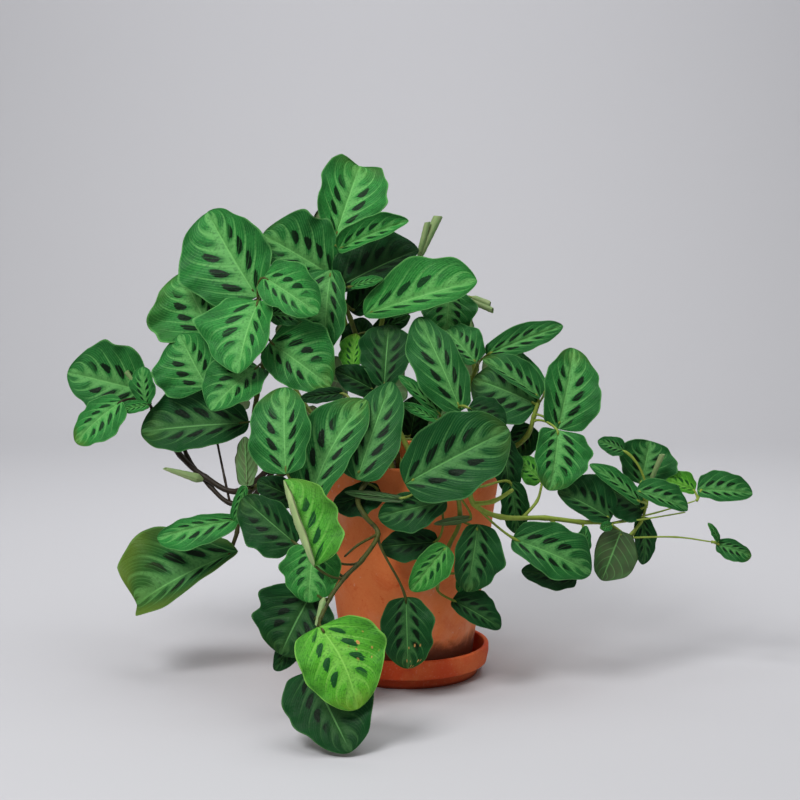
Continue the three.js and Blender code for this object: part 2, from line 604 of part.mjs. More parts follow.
// The surface of a leaf blade: place(s, u) for s from base to tip and u from the left edge -1 to the
// right edge 1.
function bladeSurface(row, number) {
  const [, , basePlace, tipPlace, rightHalf, leftHalf, rightCurl, leftCurl, arch, sweep, underside,
    widestAt = WIDEST_AT, notch = 0] = row;
  const swell = Math.log(0.5) / Math.log(widestAt);
  const base = sight(basePlace);
  const tip = sight(tipPlace);
  const length = base.distanceTo(tip);
  const axis = tip.clone().sub(base).normalize();
  const middle = base.clone().add(tip).multiplyScalar(0.5);
  const seen = EYE.clone().sub(middle).normalize().multiplyScalar(underside ? -1 : 1);
  const outward = new THREE.Vector3(middle.x, middle.y, 0);
  outward.multiplyScalar(1 / Math.max(outward.length(), OUTWARD_REACH));
  const freedom = outward.dot(seen) > -OUTWARD_REVERSED ? 1 : 0;
  const face = seen.clone();
  face.addScaledVector(outward, OUTWARD * freedom);
  face.addScaledVector(UP, SKYWARD * freedom);
  face.addScaledVector(axis, -face.dot(axis)).normalize();
  seen.addScaledVector(axis, -seen.dot(axis)).normalize();
  const widening = 1 / face.dot(seen);
  const side = axis.clone().cross(face);
  const place = (s, u) => {
    const fullness = Math.max(Math.sin(Math.PI * s ** swell), 0) ** BLUNTNESS;
    const half = (u > 0 ? rightHalf : leftHalf) * fullness * widening;
    const curl = THREE.MathUtils.degToRad(u > 0 ? rightCurl : leftCurl);
    const edge = Math.abs(u);
    const start = curl * CURL_START;
    const end = start + curl * CURL_GAIN * edge;
    const out = (Math.sin(end) - Math.sin(start)) / (curl * CURL_GAIN);
    const lift = (Math.cos(start) - Math.cos(end)) / (curl * CURL_GAIN);
    const ripple = Math.sin(2 * Math.PI * WAVES * s + WAVE_SHIFT * (number + Math.sign(u)));
    const wave = WAVE_HEIGHT * ripple * edge * edge;
    const bow = 4 * length * s * (1 - s);
    const baseLobe = BASE_LOBE * (1 - s) ** 3 * Math.min(s / LOBE_START, 1);
    const tipLobe = notch * s ** 3 * Math.min((1 - s) / LOBE_START, 1);
    const lobe = length * edge * edge * (baseLobe - tipLobe);
    return base.clone()
      .addScaledVector(axis, length * s - lobe)
      .addScaledVector(side, half * out * Math.sign(u) + sweep * bow)
      .addScaledVector(face, half * (lift + 2 * wave) + arch * bow);
  };
  return { place, width: rightHalf + leftHalf, axis };
}

function bladeNormal(place, s, u) {
  const near = THREE.MathUtils.clamp(s, NORMAL_ENDS, 1 - NORMAL_ENDS);
  const right = place(near, Math.min(u + NORMAL_STEP, 1));
  const left = place(near, Math.max(u - NORMAL_STEP, -1));
  const acrossBlade = right.sub(left);
  const alongBlade = place(near + NORMAL_STEP, u).sub(place(near - NORMAL_STEP, u));
  return acrossBlade.cross(alongBlade).normalize();
}

// A blade as a thin closed body, cut into the same triangles on both faces.
function blade({ place, width }) {
  const large = width >= LARGE_BLADE;
  const stations = large ? LARGE_STATIONS : SMALL_STATIONS;
  const across = large ? LARGE_ACROSS : SMALL_ACROSS;
  const last = across.length - 1;
  const rows = stations.slice(1, -1);
  const points = [[0, 0], ...rows.flatMap((s) => across.map((u) => [s, u])), [1, 0]];
  const tip = points.length - 1;
  const at = (row, column) => 1 + row * across.length + column;
  const faces = [];
  for (let j = 0; j < last; j += 1) {
    faces.push([0, at(0, j + 1), at(0, j)]);
    faces.push([at(rows.length - 1, j), at(rows.length - 1, j + 1), tip]);
    for (let i = 0; i < rows.length - 1; i += 1) {
      faces.push([at(i, j), at(i, j + 1), at(i + 1, j + 1)]);
      faces.push([at(i, j), at(i + 1, j + 1), at(i + 1, j)]);
    }
  }
  const rightEdge = rows.map((_, i) => at(i, last));
  const leftEdge = rows.map((_, i) => at(rows.length - 1 - i, 0));
  const outline = [0, ...rightEdge, tip, ...leftEdge];
  const under = points.length;
  const triangles = faces.flatMap(([a, b, c]) => [a, b, c, a + under, c + under, b + under]);
  outline.forEach((p, i) => {
    const q = outline[(i + 1) % outline.length];
    triangles.push(q, p, p + under, q, p + under, q + under);
  });
  const surface = points.map(([s, u]) => ({ middle: place(s, u), normal: bladeNormal(place, s, u) }));
  const offset = ({ middle, normal }, distance) => middle.clone().addScaledVector(normal, distance).toArray();
  const positions = [
    ...surface.flatMap((point) => offset(point, BLADE_THICKNESS / 2)),
    ...surface.flatMap((point) => offset(point, -BLADE_THICKNESS / 2)),
  ];
  const geometry = new THREE.BufferGeometry();
  geometry.setAttribute("position", new THREE.Float32BufferAttribute(positions, 3));
  geometry.setIndex(triangles);
  return solid(geometry);
}

function leaf(curves, row, number) {
  const surface = bladeSurface(row, number);
  const [stem, position] = row;
  const foot = surface.place(STALK_INTO_BLADE, 0);
  return [blade(surface), stalk(curves[stem], position, foot, surface.axis)];
}

function shootBodies(shoot) {
  const curves = stemCurves(shoot);
  return [
    ...stems(shoot, curves),
    ...shoot.rolled.flatMap((row) => rolledLeaf(curves, row)),
    ...shoot.leaves.flatMap((row, number) => leaf(curves, row, number)),
  ];
}

// Materials and the finished plant
const terracotta = { color: 0xb5532e, roughness: 0.85, metalness: 0 };
const redClay = { color: 0x96301a, roughness: 0.8, metalness: 0 };
const earth = { color: 0x2a1d14, roughness: 1, metalness: 0 };
const foliage = { color: 0x2f7a35, roughness: 0.45, metalness: 0 };

function piece(name, body, finish) {
  const mesh = new THREE.Mesh(geometryOf(body), new THREE.MeshStandardMaterial(finish));
  mesh.name = name;
  return mesh;
}

const plant = new THREE.Group();
plant.add(piece("saucer", saucer(), redClay));
plant.add(piece("pot", pot(), terracotta));
plant.add(piece("soil", soil(), earth));
Object.entries(SHOOTS).forEach(([name, shoot]) => {
  plant.add(piece(name, joined(shootBodies(shoot)), foliage));
});

export default plant;
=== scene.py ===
"""A prayer plant (maranta) in a terracotta pot on a clay saucer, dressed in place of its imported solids.

Every leaf, stalk and stem follows the same course as in the plant's solids, with a finer mesh and its
markings. Lengths are metres unless a name says otherwise, +Z is up and the front of the plant is towards -Y.
"""
import math
import random
from typing import NamedTuple

import bmesh
import bpy
from bpy.props import FloatProperty, FloatVectorProperty, IntProperty, PointerProperty
from mathutils import Matrix, Vector, geometry, noise


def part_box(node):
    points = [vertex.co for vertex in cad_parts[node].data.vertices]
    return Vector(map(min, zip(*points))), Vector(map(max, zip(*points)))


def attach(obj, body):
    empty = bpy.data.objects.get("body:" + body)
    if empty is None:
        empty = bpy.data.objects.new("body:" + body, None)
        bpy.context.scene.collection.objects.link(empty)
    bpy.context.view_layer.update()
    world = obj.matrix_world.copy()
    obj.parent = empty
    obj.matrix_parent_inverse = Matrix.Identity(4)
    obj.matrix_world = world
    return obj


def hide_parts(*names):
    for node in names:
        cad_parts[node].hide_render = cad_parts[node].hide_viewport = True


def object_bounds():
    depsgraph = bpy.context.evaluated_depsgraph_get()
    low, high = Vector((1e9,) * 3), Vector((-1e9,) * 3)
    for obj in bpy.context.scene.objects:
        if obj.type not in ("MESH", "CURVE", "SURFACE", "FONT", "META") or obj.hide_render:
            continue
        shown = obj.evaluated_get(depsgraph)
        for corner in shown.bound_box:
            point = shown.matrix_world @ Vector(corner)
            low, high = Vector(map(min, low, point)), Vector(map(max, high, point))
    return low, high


bl_info = {
    "name": "Potted prayer plant",
    "version": (1, 0, 0),
    "blender": (4, 5, 0),
    "location": "3D View > Sidebar > Prayer plant",
    "description": "Dresses a prayer plant in its terracotta pot and saucer",
    "category": "Add Mesh",
}

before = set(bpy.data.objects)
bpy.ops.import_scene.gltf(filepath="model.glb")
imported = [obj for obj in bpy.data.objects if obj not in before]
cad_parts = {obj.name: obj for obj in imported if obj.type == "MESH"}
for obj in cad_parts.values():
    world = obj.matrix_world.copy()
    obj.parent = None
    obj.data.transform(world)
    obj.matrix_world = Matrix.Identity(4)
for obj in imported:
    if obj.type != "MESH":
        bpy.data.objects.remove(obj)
cad_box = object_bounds()

MM = 0.001

# The eye of the photograph. A place on the plant is [x, y, forward]: the x and y of a pixel in its 800 x 800
# frame, and its real distance in millimetres in front of the pot's axis.
EYE = Vector((-0.0074, -1.658, 0.4754))
FOCAL_PIXELS = 1700
FRAME_PIXELS = 800
PITCH = math.radians(7)
SENSOR = 36.0

# How the plant grows, as in its solids
SOIL_BELOW_RIM = 0.018
FOOT_ABOVE_SOIL = 0.004
STEM_RADIUS = 0.0027
STALK_RADIUS = 0.00115
STALK_INTO_BLADE = 0.09
STALK_LEAVE = 0.3
STALK_ARRIVE = 0.3
LAST_ON_STEM = 0.98
WIDEST_AT = 0.463
BLUNTNESS = 0.5
WAVE_HEIGHT = 0.05
WAVES = 1.6
WAVE_SHIFT = 2.4
BASE_LOBE = 0.08
LOBE_START = 0.1
CURL_START = 0.4
CURL_GAIN = 1.2
OUTWARD = 0.5
OUTWARD_REACH = 0.15
OUTWARD_REVERSED = 0.2
SKYWARD = 0.3
UP = Vector((0, 0, 1))


class Leaf(NamedTuple):
    """A row of a shoot's leaves. Its widths are millimetres, and its curls are degrees."""

    stem: int
    stem_position: float
    base: list
    tip: list
    right_width: float
    left_width: float
    right_curl: float
    left_curl: float
    arch: float
    sweep: float = 0
    underside_shows: int = 0
    widest_at: float = WIDEST_AT
    notch: float = 0


class RolledLeaf(NamedTuple):
    """A row of a shoot's leaves that are still rolled up. Its radii are millimetres."""

    stem: int
    stem_position: float
    base: list
    tip: list
    base_radius: float
    tip_radius: float


# Every shoot has its root [across, forward] in the soil, and its stems as [thickness as a share of the stem
# radius, places]. A row of its leaves is a Leaf, and a row of its rolled leaves is a RolledLeaf. A position
# along a stem counts its places from 0, the foot included. Arch, sweep to the right and the notch in the tip
# are shares of the leaf's length.
# youth_and_light: how young and bright each leaf is, from 0 to 1, set low as painted shade for leaves that
# lie in shade. bark: how brown the stems are, from 0 to 1.
SHOOTS = {
    "shoot_crown_left": {
        "root": [-48, 8],
        "stems": [
            [1, [[322, 434, 4], [285, 437, 6], [256, 424, 8], [257, 395, 4], [263, 366, 0], [262, 335, -8],
              [259, 303, -12], [265, 272, -14], [265, 247, -16]]],
        ],
        "leaves": [
            [0, 3, [249, 423, 10], [142, 432, 2], 36, 26, 12, 14, 0.05, 0, 0, 0.55],
            [0, 5, [259, 367, 16], [211, 410, 52], 28, 23, 10, 14, 0.08],
            [0, 4.5, [207, 387, 16], [180, 335, 2], 28, 40, 14, 10, 0.05, 0, 0, 0.42],
            [0, 7, [259, 301, 16], [238, 373, 52], 42, 23, 12, 12, 0.08],
            [0, 7, [211, 333, -12], [182, 273, -38], 22, 50, 12, 12, 0.05, 0, 0, 0.38],
            [0, 7.4, [257, 297, 8], [208, 213, -30], 38, 53, 14, 12, 0.05],
            [0, 6, [270, 342, 12], [330, 386, 36], 27, 43, 10, 12, 0.08],
            [0, 5.5, [264, 277, 30], [318, 313, 50], 21, 31, 12, 10, 0.08],
            [0, 5.4, [271, 314, 18], [306, 317, 24], 12, 12, 10, 10, 0.06],
        ],
        "youth_and_light": [0.2, 0.5, 0.5, 0.62, 0.52, 0.48, 0.5, 0.62, 0.35],
        "bark": 0.75,
    },
    "shoot_crown_top": {
        "root": [-15, 0],
        "stems": [
            [1, [[372, 400, -5], [362, 355, -10], [350, 318, -12], [338, 288, -12], [334, 262, -12],
              [335, 240, -10]]],
        ],
        "leaves": [
            [0, 6, [335, 238, -11], [360, 165, -46], 39, 38, 24, 22, 0.02, 0, 0, 0.58, 0.16],
            [0, 5.6, [338, 250, 10], [408, 221, 10], 15, 19, 44, 40, 0.08],
            [0, 4.5, [331, 275, -11], [263, 235, -10], 44, 28, 12, 14, 0.06],
            [0, 4.5, [331, 270, 1], [325, 352, 19], 40, 21, 12, 12, 0.08],
            [0, 4, [339, 287, -4], [418, 250, -9], 14, 35, 12, 12, 0.06],
            [0, 3.5, [352, 313, -18], [386, 277, -30], 16, 18, 12, 12, 0.06],
            [0, 3.8, [351, 287, 12], [383, 279, 14], 5, 6, 10, 10, 0.06],
            [0, 1.6, [353, 368, 12], [356, 334, 4], 9, 15, 10, 10, 0.06],
            [0, 1.5, [374, 390, 18], [335, 370, 22], 14, 14, 10, 10, 0.06],
            [0, 1, [384, 388, 24], [389, 326, -4], 27, 28, 14, 14, 0.06, 0, 0, 0.58],
            [0, 1.5, [356, 364, -26], [363, 318, -36], 17, 20, 10, 10, 0.06],
            [0, 2.4, [374, 332, -36], [410, 316, -42], 9, 11, 10, 10, 0.06],
        ],
        "youth_and_light": [0.55, 0.6, 0.4, 0.4, 0.02, 0.03, 0.6, 0.95, 0.05, 0.15, 0.1, 0.2],
        "bark": 0.6,
    },
    "shoot_top_right": {
        "root": [8, -14],
        "stems": [
            [1, [[388, 400, -22], [381, 330, -20], [392, 298, -28], [407, 275, -30], [418, 259, -28]]],
            [0.7, [[392, 298, -28], [430, 288, -26], [470, 297, -22]]],
        ],
        "rolled": [
            [0, 5, [418, 260, -28], [439, 215, -30], 3, 4.4],
            [0, 5, [419, 256, -26], [428, 221, -24], 2.2, 2.6],
            [1, 2, [472, 297, -22], [491, 305, -20], 2.2, 3],
            [1, 1.8, [468, 300, -20], [494, 311, -16], 2.0, 2.4],
        ],
        "leaves": [
            [0, 2.2, [364, 315, 4], [476, 281, 23], 15, 36, 8, 14, 0.05, 0, 0, 0.6],
            [0, 2.5, [390, 314, -18], [427, 300, -24], 9, 7, 10, 10, 0.06],
            [1, 1.2, [449, 291, -20], [446, 336, -12], 27, 27, 12, 12, 0.08],
        ],
        "youth_and_light": [0.66, 0.5, 0.5],
        "bark": 0.35,
    },
    "shoot_mid_right": {
        "root": [22, 14],
        "stems": [
            [1, [[425, 440, 8], [450, 420, 14], [468, 388, 6], [478, 364, 2]]],
        ],
        "leaves": [
            [0, 2, [461, 411, 50], [419, 318, 14], 22, 30, 16, 16, 0.06],
            [0, 4, [476, 363, 20], [446, 331, 2], 23, 14, 14, 14, 0.08],
            [0, 1.8, [468, 408, 72], [505, 428, 84], 5, 18, 10, 14, 0.08],
            [0, 1, [440, 414, 44], [399, 376, 40], 8, 7, 20, 20, 0.06],
            [0, 1, [437, 420, 56], [402, 404, 54], 6, 6, 20, 20, 0.06],
            [0, 4, [486, 355, 6], [562, 326, -6], 13, 15, 10, 14, 0.1],
        ],
        "youth_and_light": [0.35, 0.4, 0.1, 0.5, 0.6, 0.42],
        "bark": 0.3,
    },
    "shoot_right": {
        "root": [50, 12],
        "stems": [
            [1, [[482, 434, 16], [508, 448, 24], [527, 436, 34], [534, 416, 40], [539, 401, 40]]],
        ],
        "leaves": [
            [0, 5, [540, 398, 44], [483, 360, 32], 20, 6, 14, 20, 0.06],
            [0, 4.5, [537, 405, 30], [474, 379, 10], 28, 37, 10, 14, 0.06, 0, 0, 0.42],
            [0, 4.5, [545, 393, 16], [508, 350, -10], 9, 14, 14, 14, 0.06],
            [0, 4, [558, 429, 46], [573, 349, 10], 31, 26, 12, 14, 0.06, 0, 0, 0.43],
            [0, 3.6, [558, 430, 60], [549, 490, 78], 23, 33, 14, 14, 0.1, 0, 0, 0.4],
            [0, 2.5, [531, 425, 20], [509, 456, 12], 16, 17, 10, 10, 0.06],
            [0, 1.5, [502, 440, 50], [509, 494, 60], 14, 14, 12, 12, 0.08],
        ],
        "youth_and_light": [0.35, 0.25, 0.45, 0.45, 0.5, 0.2, 0.1],
        "bark": 0.2,
    },
    "shoot_far_right": {
        "root": [36, 50],
        "stems": [
            [1, [[440, 446, 62], [456, 458, 86], [468, 482, 106], [474, 504, 104], [501, 517, 98],
              [545, 518, 84], [580, 522, 70], [607, 524, 62], [632, 541, 55]]],
            [0.85, [[474, 504, 104], [494, 501, 112], [514, 489, 116]]],
            [0.6, [[522, 516, 92], [537, 501, 80], [542, 484, 56]]],
            [0.6, [[632, 541, 55], [641, 522, 52], [646, 507, 50]]],
            [0.35, [[607, 524, 62], [645, 519, 60], [687, 512, 56]]],
            [0.35, [[607, 524, 62], [655, 513, 50], [698, 500, 40]]],
            [0.35, [[632, 541, 55], [675, 537, 50], [713, 542, 47]]],
        ],
        "rolled": [
            [3, 2, [651, 480, 44], [663, 453, 54], 1.6, 2.2],
        ],
        "leaves": [
            [2, 2, [541, 481, 52], [517, 459, 46], 12, 14, 10, 10, 0.06],
            [0, 4, [512, 539, 98], [590, 573, 92], 22, 30, 14, 14, 0.1, 0, 0, 0.5],
            [0, 6, [577, 578, 76], [522, 571, 74], 14, 15, 10, 10, 0.06],
            [0, 7, [577, 562, 82], [586, 526, 82], 8, 9, 10, 10, 0.06],
            [0, 3, [511, 482, 70], [516, 533, 74], 14, 13, 14, 14, 0.06],
            [3, 2, [640, 503, 66], [590, 465, 72], 10, 8, 10, 10, 0.08],
            [0, 8, [611, 519, 66], [558, 491, 66], 28, 13, 10, 14, 0.06],
            [3, 2, [644, 511, 50], [600, 484, 48], 15, 21, 10, 10, 0.06],
            [3, 2, [640, 484, 38], [650, 441, 30], 26, 34, 18, 18, 0.06, 0, 0, 0.55, 0.06],
            [3, 2, [624, 451, 56], [598, 441, 58], 9, 9, 10, 10, 0.06],
            [3, 2, [636, 491, 68], [687, 510, 66], 7, 17, 10, 14, 0.1],
            [5, 2, [695, 491, 36], [662, 480, 38], 13, 7, 12, 12, 0.08],
            [5, 2, [697, 490, 36], [754, 494, 28], 12, 20, 12, 12, 0.08, 0, 0, 0.4],
            [6, 2, [716, 544, 46], [751, 556, 46], 13, 8, 12, 12, 0.08],
            [6, 2, [718, 542, 50], [708, 523, 50], 3.5, 3.5, 10, 10, 0.1],
            [0, 9, [621, 531, 70], [602, 580, 65], 25, 18, 12, 12, 0.08, 0, 1, 0.5],
            [0, 9, [641, 517, 42], [643, 564, 38], 11, 11, 12, 12, 0.08],
            [0, 8, [612, 525, 74], [600, 528, 76], 5, 5, 10, 10, 0.06],
        ],
        "youth_and_light": [0.85, 0.35, 0.05, 0.4, 0.3, 0.45, 0.18, 0.08, 0.35, 0.35,
                  0.4, 0.95, 0.42, 0.35, 0.5, 0.2, 0.2, 0.5],
        "bark": 0.05,
    },
    "shoot_far_left": {
        "root": [-55, 24],
        "stems": [
            [1.2, [[320, 438, 32], [285, 455, 34], [240, 491, 22], [205, 477, 10], [180, 455, -4],
              [163, 428, -18],
              [150, 405, -18]]],
            [1, [[285, 455, 34], [252, 498, 24], [230, 503, 20], [210, 486, 8], [188, 458, -12],
              [180, 430, -20]]],
            [0.5, [[230, 503, 20], [225, 480, 14], [217, 441, -8], [214, 425, -14]]],
        ],
        "rolled": [
            [0, 4, [203, 480, 12], [163, 468, 14], 5, 1],
            [0, 7, [133, 381, 6], [126, 371, 6], 1.1, 2],
        ],
        "leaves": [
            [0, 7, [143, 391, -12], [66, 372, -14], 41, 33, 12, 12, 0.06],
            [0, 7, [122, 401, 9], [76, 442, 13], 15, 25, 12, 14, 0.08],
            [0, 7, [147, 405, 6], [143, 367, 4], 13, 12, 16, 16, 0.08, 0, 0, 0.55],
            [0, 7, [149, 405, 8], [121, 411, 10], 6, 6, 10, 10, 0.08],
        ],
        "youth_and_light": [0.42, 0.6, 0.5, 0.6],
        "bark": 1,
    },
    "shoot_low_left": {
        "root": [-52, 44],
        "stems": [
            [1, [[324, 440, 72], [290, 470, 84], [254, 488, 66], [240, 512, 44], [237, 532, 36],
              [232, 547, 30]]],
        ],
        "leaves": [
            [0, 3, [247, 486, 74], [245, 437, 68], 11, 11, 12, 12, 0.08, 0, 1],
            [0, 3.4, [238, 519, 66], [158, 538, 60], 11, 22, 10, 14, 0.06, 0, 0, 0.56],
            [0, 3, [246, 486, 78], [235, 525, 66], 7, 6, 10, 10, 0.04],
            [0, 6, [238, 551, 40], [136, 604, 40], 53, 20, 12, 14, 0.08, 0, 0, 0.66, 0.16],
        ],
        "youth_and_light": [0.3, 0.55, 0.6, 0.3],
        "bark": 0.9,
    },
    "shoot_front": {
        "root": [-26, 58],
        "stems": [
            [1, [[372, 440, 84], [345, 466, 100], [318, 488, 106], [306, 502, 110]]],
        ],
        "leaves": [
            [0, 3, [286, 474, 138], [285, 388, 104], 25, 34, 12, 12, 0.06],
            [0, 4, [311, 500, 128], [366, 401, 84], 23, 34, 12, 12, 0.06, -0.05, 0],
            [0, 2, [357, 480, 113], [391, 383, 66], 30, 22, 12, 12, 0.06, 0, 0, 0.4],
            [0, 2, [380, 490, 93], [333, 506, 97], 12, 19, 10, 10, 0.06],
            [0, 1, [343, 393, 66], [300, 399, 68], 7, 8, 10, 10, 0.06],
            [0, 4, [297, 499, 98], [258, 481, 94], 13, 16, 10, 10, 0.06],
        ],
        "youth_and_light": [0.43, 0.4, 0.3, 0.03, 0.05, 0.08],
        "bark": 0.5,
    },
    "shoot_front_right": {
        "root": [15, 62],
        "stems": [
            [1, [[416, 446, 92], [422, 480, 106], [440, 505, 102]]],
        ],
        "leaves": [
            [0, 2, [405, 484, 128], [508, 430, 112], 39, 38, 12, 12, 0.07, 0, 0, 0.5],
            [0, 3, [447, 501, 109], [379, 517, 107], 17, 22, 16, 16, 0.06, 0, 0, 0.55],
            [0, 3, [438, 542, 102], [381, 547, 99], 15, 17, 10, 10, 0.06],
            [0, 2, [404, 499, 116], [345, 492, 114], 5, 4, 10, 10, 0.06, 0, 1],
        ],
        "youth_and_light": [0.25, 0.2, 0.05, 0.05],
        "bark": 0.25,
    },
    "shoot_low_front": {
        "root": [26, 64],
        "stems": [
            [0.9, [[436, 446, 92], [452, 472, 108], [460, 518, 98], [449, 546, 94], [440, 572, 90],
              [437, 590, 86]]],
        ],
        "leaves": [
            [0, 3, [478, 524, 106], [467, 591, 100], 19, 27, 12, 12, 0.08],
            [0, 4, [447, 546, 112], [411, 590, 110], 13, 19, 12, 12, 0.08],
            [0, 6, [452, 600, 90], [500, 628, 92], 12, 19, 12, 12, 0.08],
            [0, 5, [462, 574, 90], [459, 592, 90], 5, 5, 10, 10, 0.06],
            [0, 2.4, [472, 518, 110], [434, 524, 113], 4, 4, 10, 10, 0.12, 0, 1],
        ],
        "youth_and_light": [0.25, 0.72, 0.12, 0.5, 0.4],
        "bark": 0.25,
    },
    "shoot_trailing": {
        "root": [-8, 68],
        "stems": [
            [0.95, [[394, 445, 95], [372, 474, 102], [358, 498, 108], [365, 516, 113], [378, 534, 118],
              [362, 560, 150], [346, 576, 172], [330, 598, 196], [318, 624, 226]]],
            [0.5, [[376, 531, 121], [358, 545, 142], [344, 557, 160]]],
        ],
        "rolled": [
            [0, 8, [324, 598, 204], [316, 627, 218], 2.6, 1.2],
        ],
        "leaves": [
            [0, 5, [406, 597, 112], [408, 668, 116], 25, 26, 12, 12, 0.08],
            [0, 7, [314, 545, 156], [309, 602, 172], 26, 30, 10, 12, 0.1],
            [0, 7, [314, 567, 192], [284, 481, 158], 38, 21, 10, 110, 0.04],
            [0, 6, [296, 544, 128], [243, 498, 108], 20, 29, 12, 12, 0.06, 0, 0, 0.42],
            [0, 8, [312, 593, 156], [281, 654, 168], 40, 35, 12, 12, 0.08, 0, 0, 0.45],
            [0, 8, [303, 634, 146], [275, 670, 154], 11, 13, 12, 12, 0.08],
            [0, 9, [319, 627, 238], [358, 711, 262], 39, 41, 10, 10, 0.1, -0.08, 0, 0.44],
            [0, 8.6, [310, 670, 212], [352, 755, 270], 35, 51, 8, 8, 0.06, 0, 0, 0.4],
        ],
        "youth_and_light": [0.2, 0.68, 0.85, 0.15, 0.12, 0.1, 0.95, 0.12],
        "bark": 0.82,
    },
    "shoot_back_left": {
        "root": [-44, -38],
        "stems": [
            [1, [[328, 430, -54], [304, 404, -76], [286, 372, -92], [262, 350, -102], [240, 332, -108],
              [232, 316, -110]]],
        ],
        "leaves": [
            [0, 6, [232, 316, -112], [222, 246, -104], 27, 27, 12, 12, 0.08, 0, 1],
            [0, 5, [238, 332, -112], [186, 306, -134], 24, 22, 12, 12, 0.08, 0, 1],
            [0, 4.6, [240, 360, -108], [190, 386, -140], 24, 22, 12, 12, 0.08, 0, 1],
            [0, 4, [240, 396, -112], [198, 432, -142], 22, 20, 12, 12, 0.08, 0, 1],
            [0, 3, [292, 356, -100], [303, 308, -124], 20, 22, 12, 12, 0.08, 0, 1],
            [0, 2, [300, 410, -88], [290, 450, -140], 26, 26, 12, 12, 0.1, 0, 1],
        ],
        "youth_and_light": [0.4] * 6,
        "bark": 0.25,
    },
    "shoot_back_crown": {
        "root": [-6, -30],
        "stems": [
            [1, [[372, 420, -46], [362, 380, -60], [350, 340, -66], [342, 306, -64], [338, 270, -54]]],
        ],
        "leaves": [
            [0, 5, [338, 268, -56], [350, 190, -84], 29, 27, 14, 14, 0.06, 0, 1],
            [0, 4, [336, 296, -74], [286, 250, -76], 27, 26, 12, 12, 0.08, 0, 1],
            [0, 4, [352, 300, -76], [404, 272, -92], 22, 22, 12, 12, 0.08, 0, 1],
            [0, 2, [346, 384, -80], [302, 376, -118], 24, 24, 12, 12, 0.08, 0, 1],
            [0, 1.6, [382, 399, -72], [396, 354, -126], 26, 26, 12, 12, 0.08, 0, 1],
            [0, 1, [410, 438, -56], [418, 396, -64], 16, 18, 10, 10, 0.06],
        ],
        "youth_and_light": [0.3] * 5 + [0.03],
        "bark": 0.25,
    },
    "shoot_back_right": {
        "root": [34, -42],
        "stems": [
            [1, [[448, 430, -58], [462, 404, -76], [474, 376, -86], [470, 344, -88]]],
        ],
        "leaves": [
            [0, 4, [462, 342, -92], [428, 296, -96], 20, 25, 12, 12, 0.08, 0, 1],
            [0, 3, [482, 376, -92], [524, 372, -116], 20, 20, 12, 12, 0.08, 0, 1],
            [0, 3, [470, 380, -90], [438, 340, -126], 26, 24, 12, 12, 0.08, 0, 1],
            [0, 1.4, [464, 424, -82], [474, 450, -146], 28, 28, 12, 12, 0.1, 0, 1],
        ],
        "youth_and_light": [0.4] * 4,
        "bark": 0.25,
    },
    "shoot_back_low": {
        "root": [4, -64],
        "stems": [
            [1, [[400, 431, -88], [398, 440, -104], [388, 480, -118], [388, 520, -118], [390, 556, -114]]],
            [0.8, [[398, 440, -104], [368, 440, -118], [342, 450, -130], [324, 472, -136]]],
            [0.8, [[398, 440, -104], [430, 440, -116], [456, 452, -130], [468, 478, -136]]],
        ],
        "leaves": [
            [0, 5, [392, 558, -118], [400, 618, -124], 27, 27, 12, 12, 0.08, 0, 1],
            [0, 4, [382, 522, -124], [342, 572, -140], 26, 20, 12, 12, 0.08, 0, 1],
            [0, 4, [398, 520, -124], [444, 564, -144], 20, 25, 12, 12, 0.08, 0, 1],
            [0, 3, [388, 482, -126], [394, 536, -164], 28, 28, 12, 12, 0.1, 0, 1],
            [1, 3, [322, 474, -138], [304, 428, -160], 26, 26, 12, 12, 0.08, 0, 1],
            [1, 3, [326, 476, -138], [340, 534, -168], 25, 24, 12, 12, 0.08, 0, 1],
            [1, 1.6, [350, 448, -134], [356, 402, -166], 26, 26, 12, 12, 0.1, 0, 1],
            [2, 3, [468, 480, -138], [488, 424, -160], 24, 24, 12, 12, 0.08, 0, 1],
            [2, 3, [464, 482, -138], [450, 538, -168], 25, 24, 12, 12, 0.08, 0, 1],
            [2, 1.6, [442, 444, -136], [426, 398, -166], 24, 26, 12, 12, 0.1, 0, 1],
        ],
        "youth_and_light": [0.3] * 10,
        "bark": 0.25,
    },
}


# Sizes and colours
def amount(name, description, default, unit="NONE"):
    return FloatProperty(name=name, description=description, default=default, unit=unit)


def colour(name, description, *red_green_blue):
    default = (*red_green_blue, 1)
    return FloatVectorProperty(name=name, description=description, default=default, subtype="COLOR", size=4)


class PotteryProperties(bpy.types.PropertyGroup):
    """The pot and its saucer."""

    pot_wall: amount("Pot wall", "Thickness of the pot's wall", 0.0075, "LENGTH")
    pot_base_radius: amount("Pot base radius", "Radius of the pot at its base", 0.0626, "LENGTH")
    saucer_wall: amount("Saucer wall", "Thickness of the saucer's wall", 0.005, "LENGTH")
    saucer_floor: amount("Saucer floor", "Thickness of the saucer's floor", 0.006, "LENGTH")
    pot_clay: colour("Pot clay", "Colour of the pot's fired clay", 0.87, 0.25, 0.074)
    pot_bloom: colour("Pot bloom", "Colour of the pale salts on the pot", 0.84, 0.46, 0.3)
    saucer_clay: colour("Saucer clay", "Colour of the saucer's fired clay", 0.7, 0.078, 0.016)
    # damp_and_shaded_clay: the colour of damp clay, and painted shade round the pot's foot and in the saucer
    damp_and_shaded_clay: colour("Damp clay", "Colour of clay that stands in water", 0.09, 0.016, 0.007)


class SoilProperties(bpy.types.PropertyGroup):
    """The potting soil."""

    unevenness: amount("Unevenness", "Height of the lumps on the soil", 0.002, "LENGTH")
    crumbs: IntProperty(name="Crumbs", description="Number of loose crumbs on the soil", default=260)
    soil_dark: colour("Dark soil", "Colour of the moist soil", 0.018, 0.011, 0.007)
    soil_light: colour("Light soil", "Colour of the dry crumbs", 0.11, 0.062, 0.035)


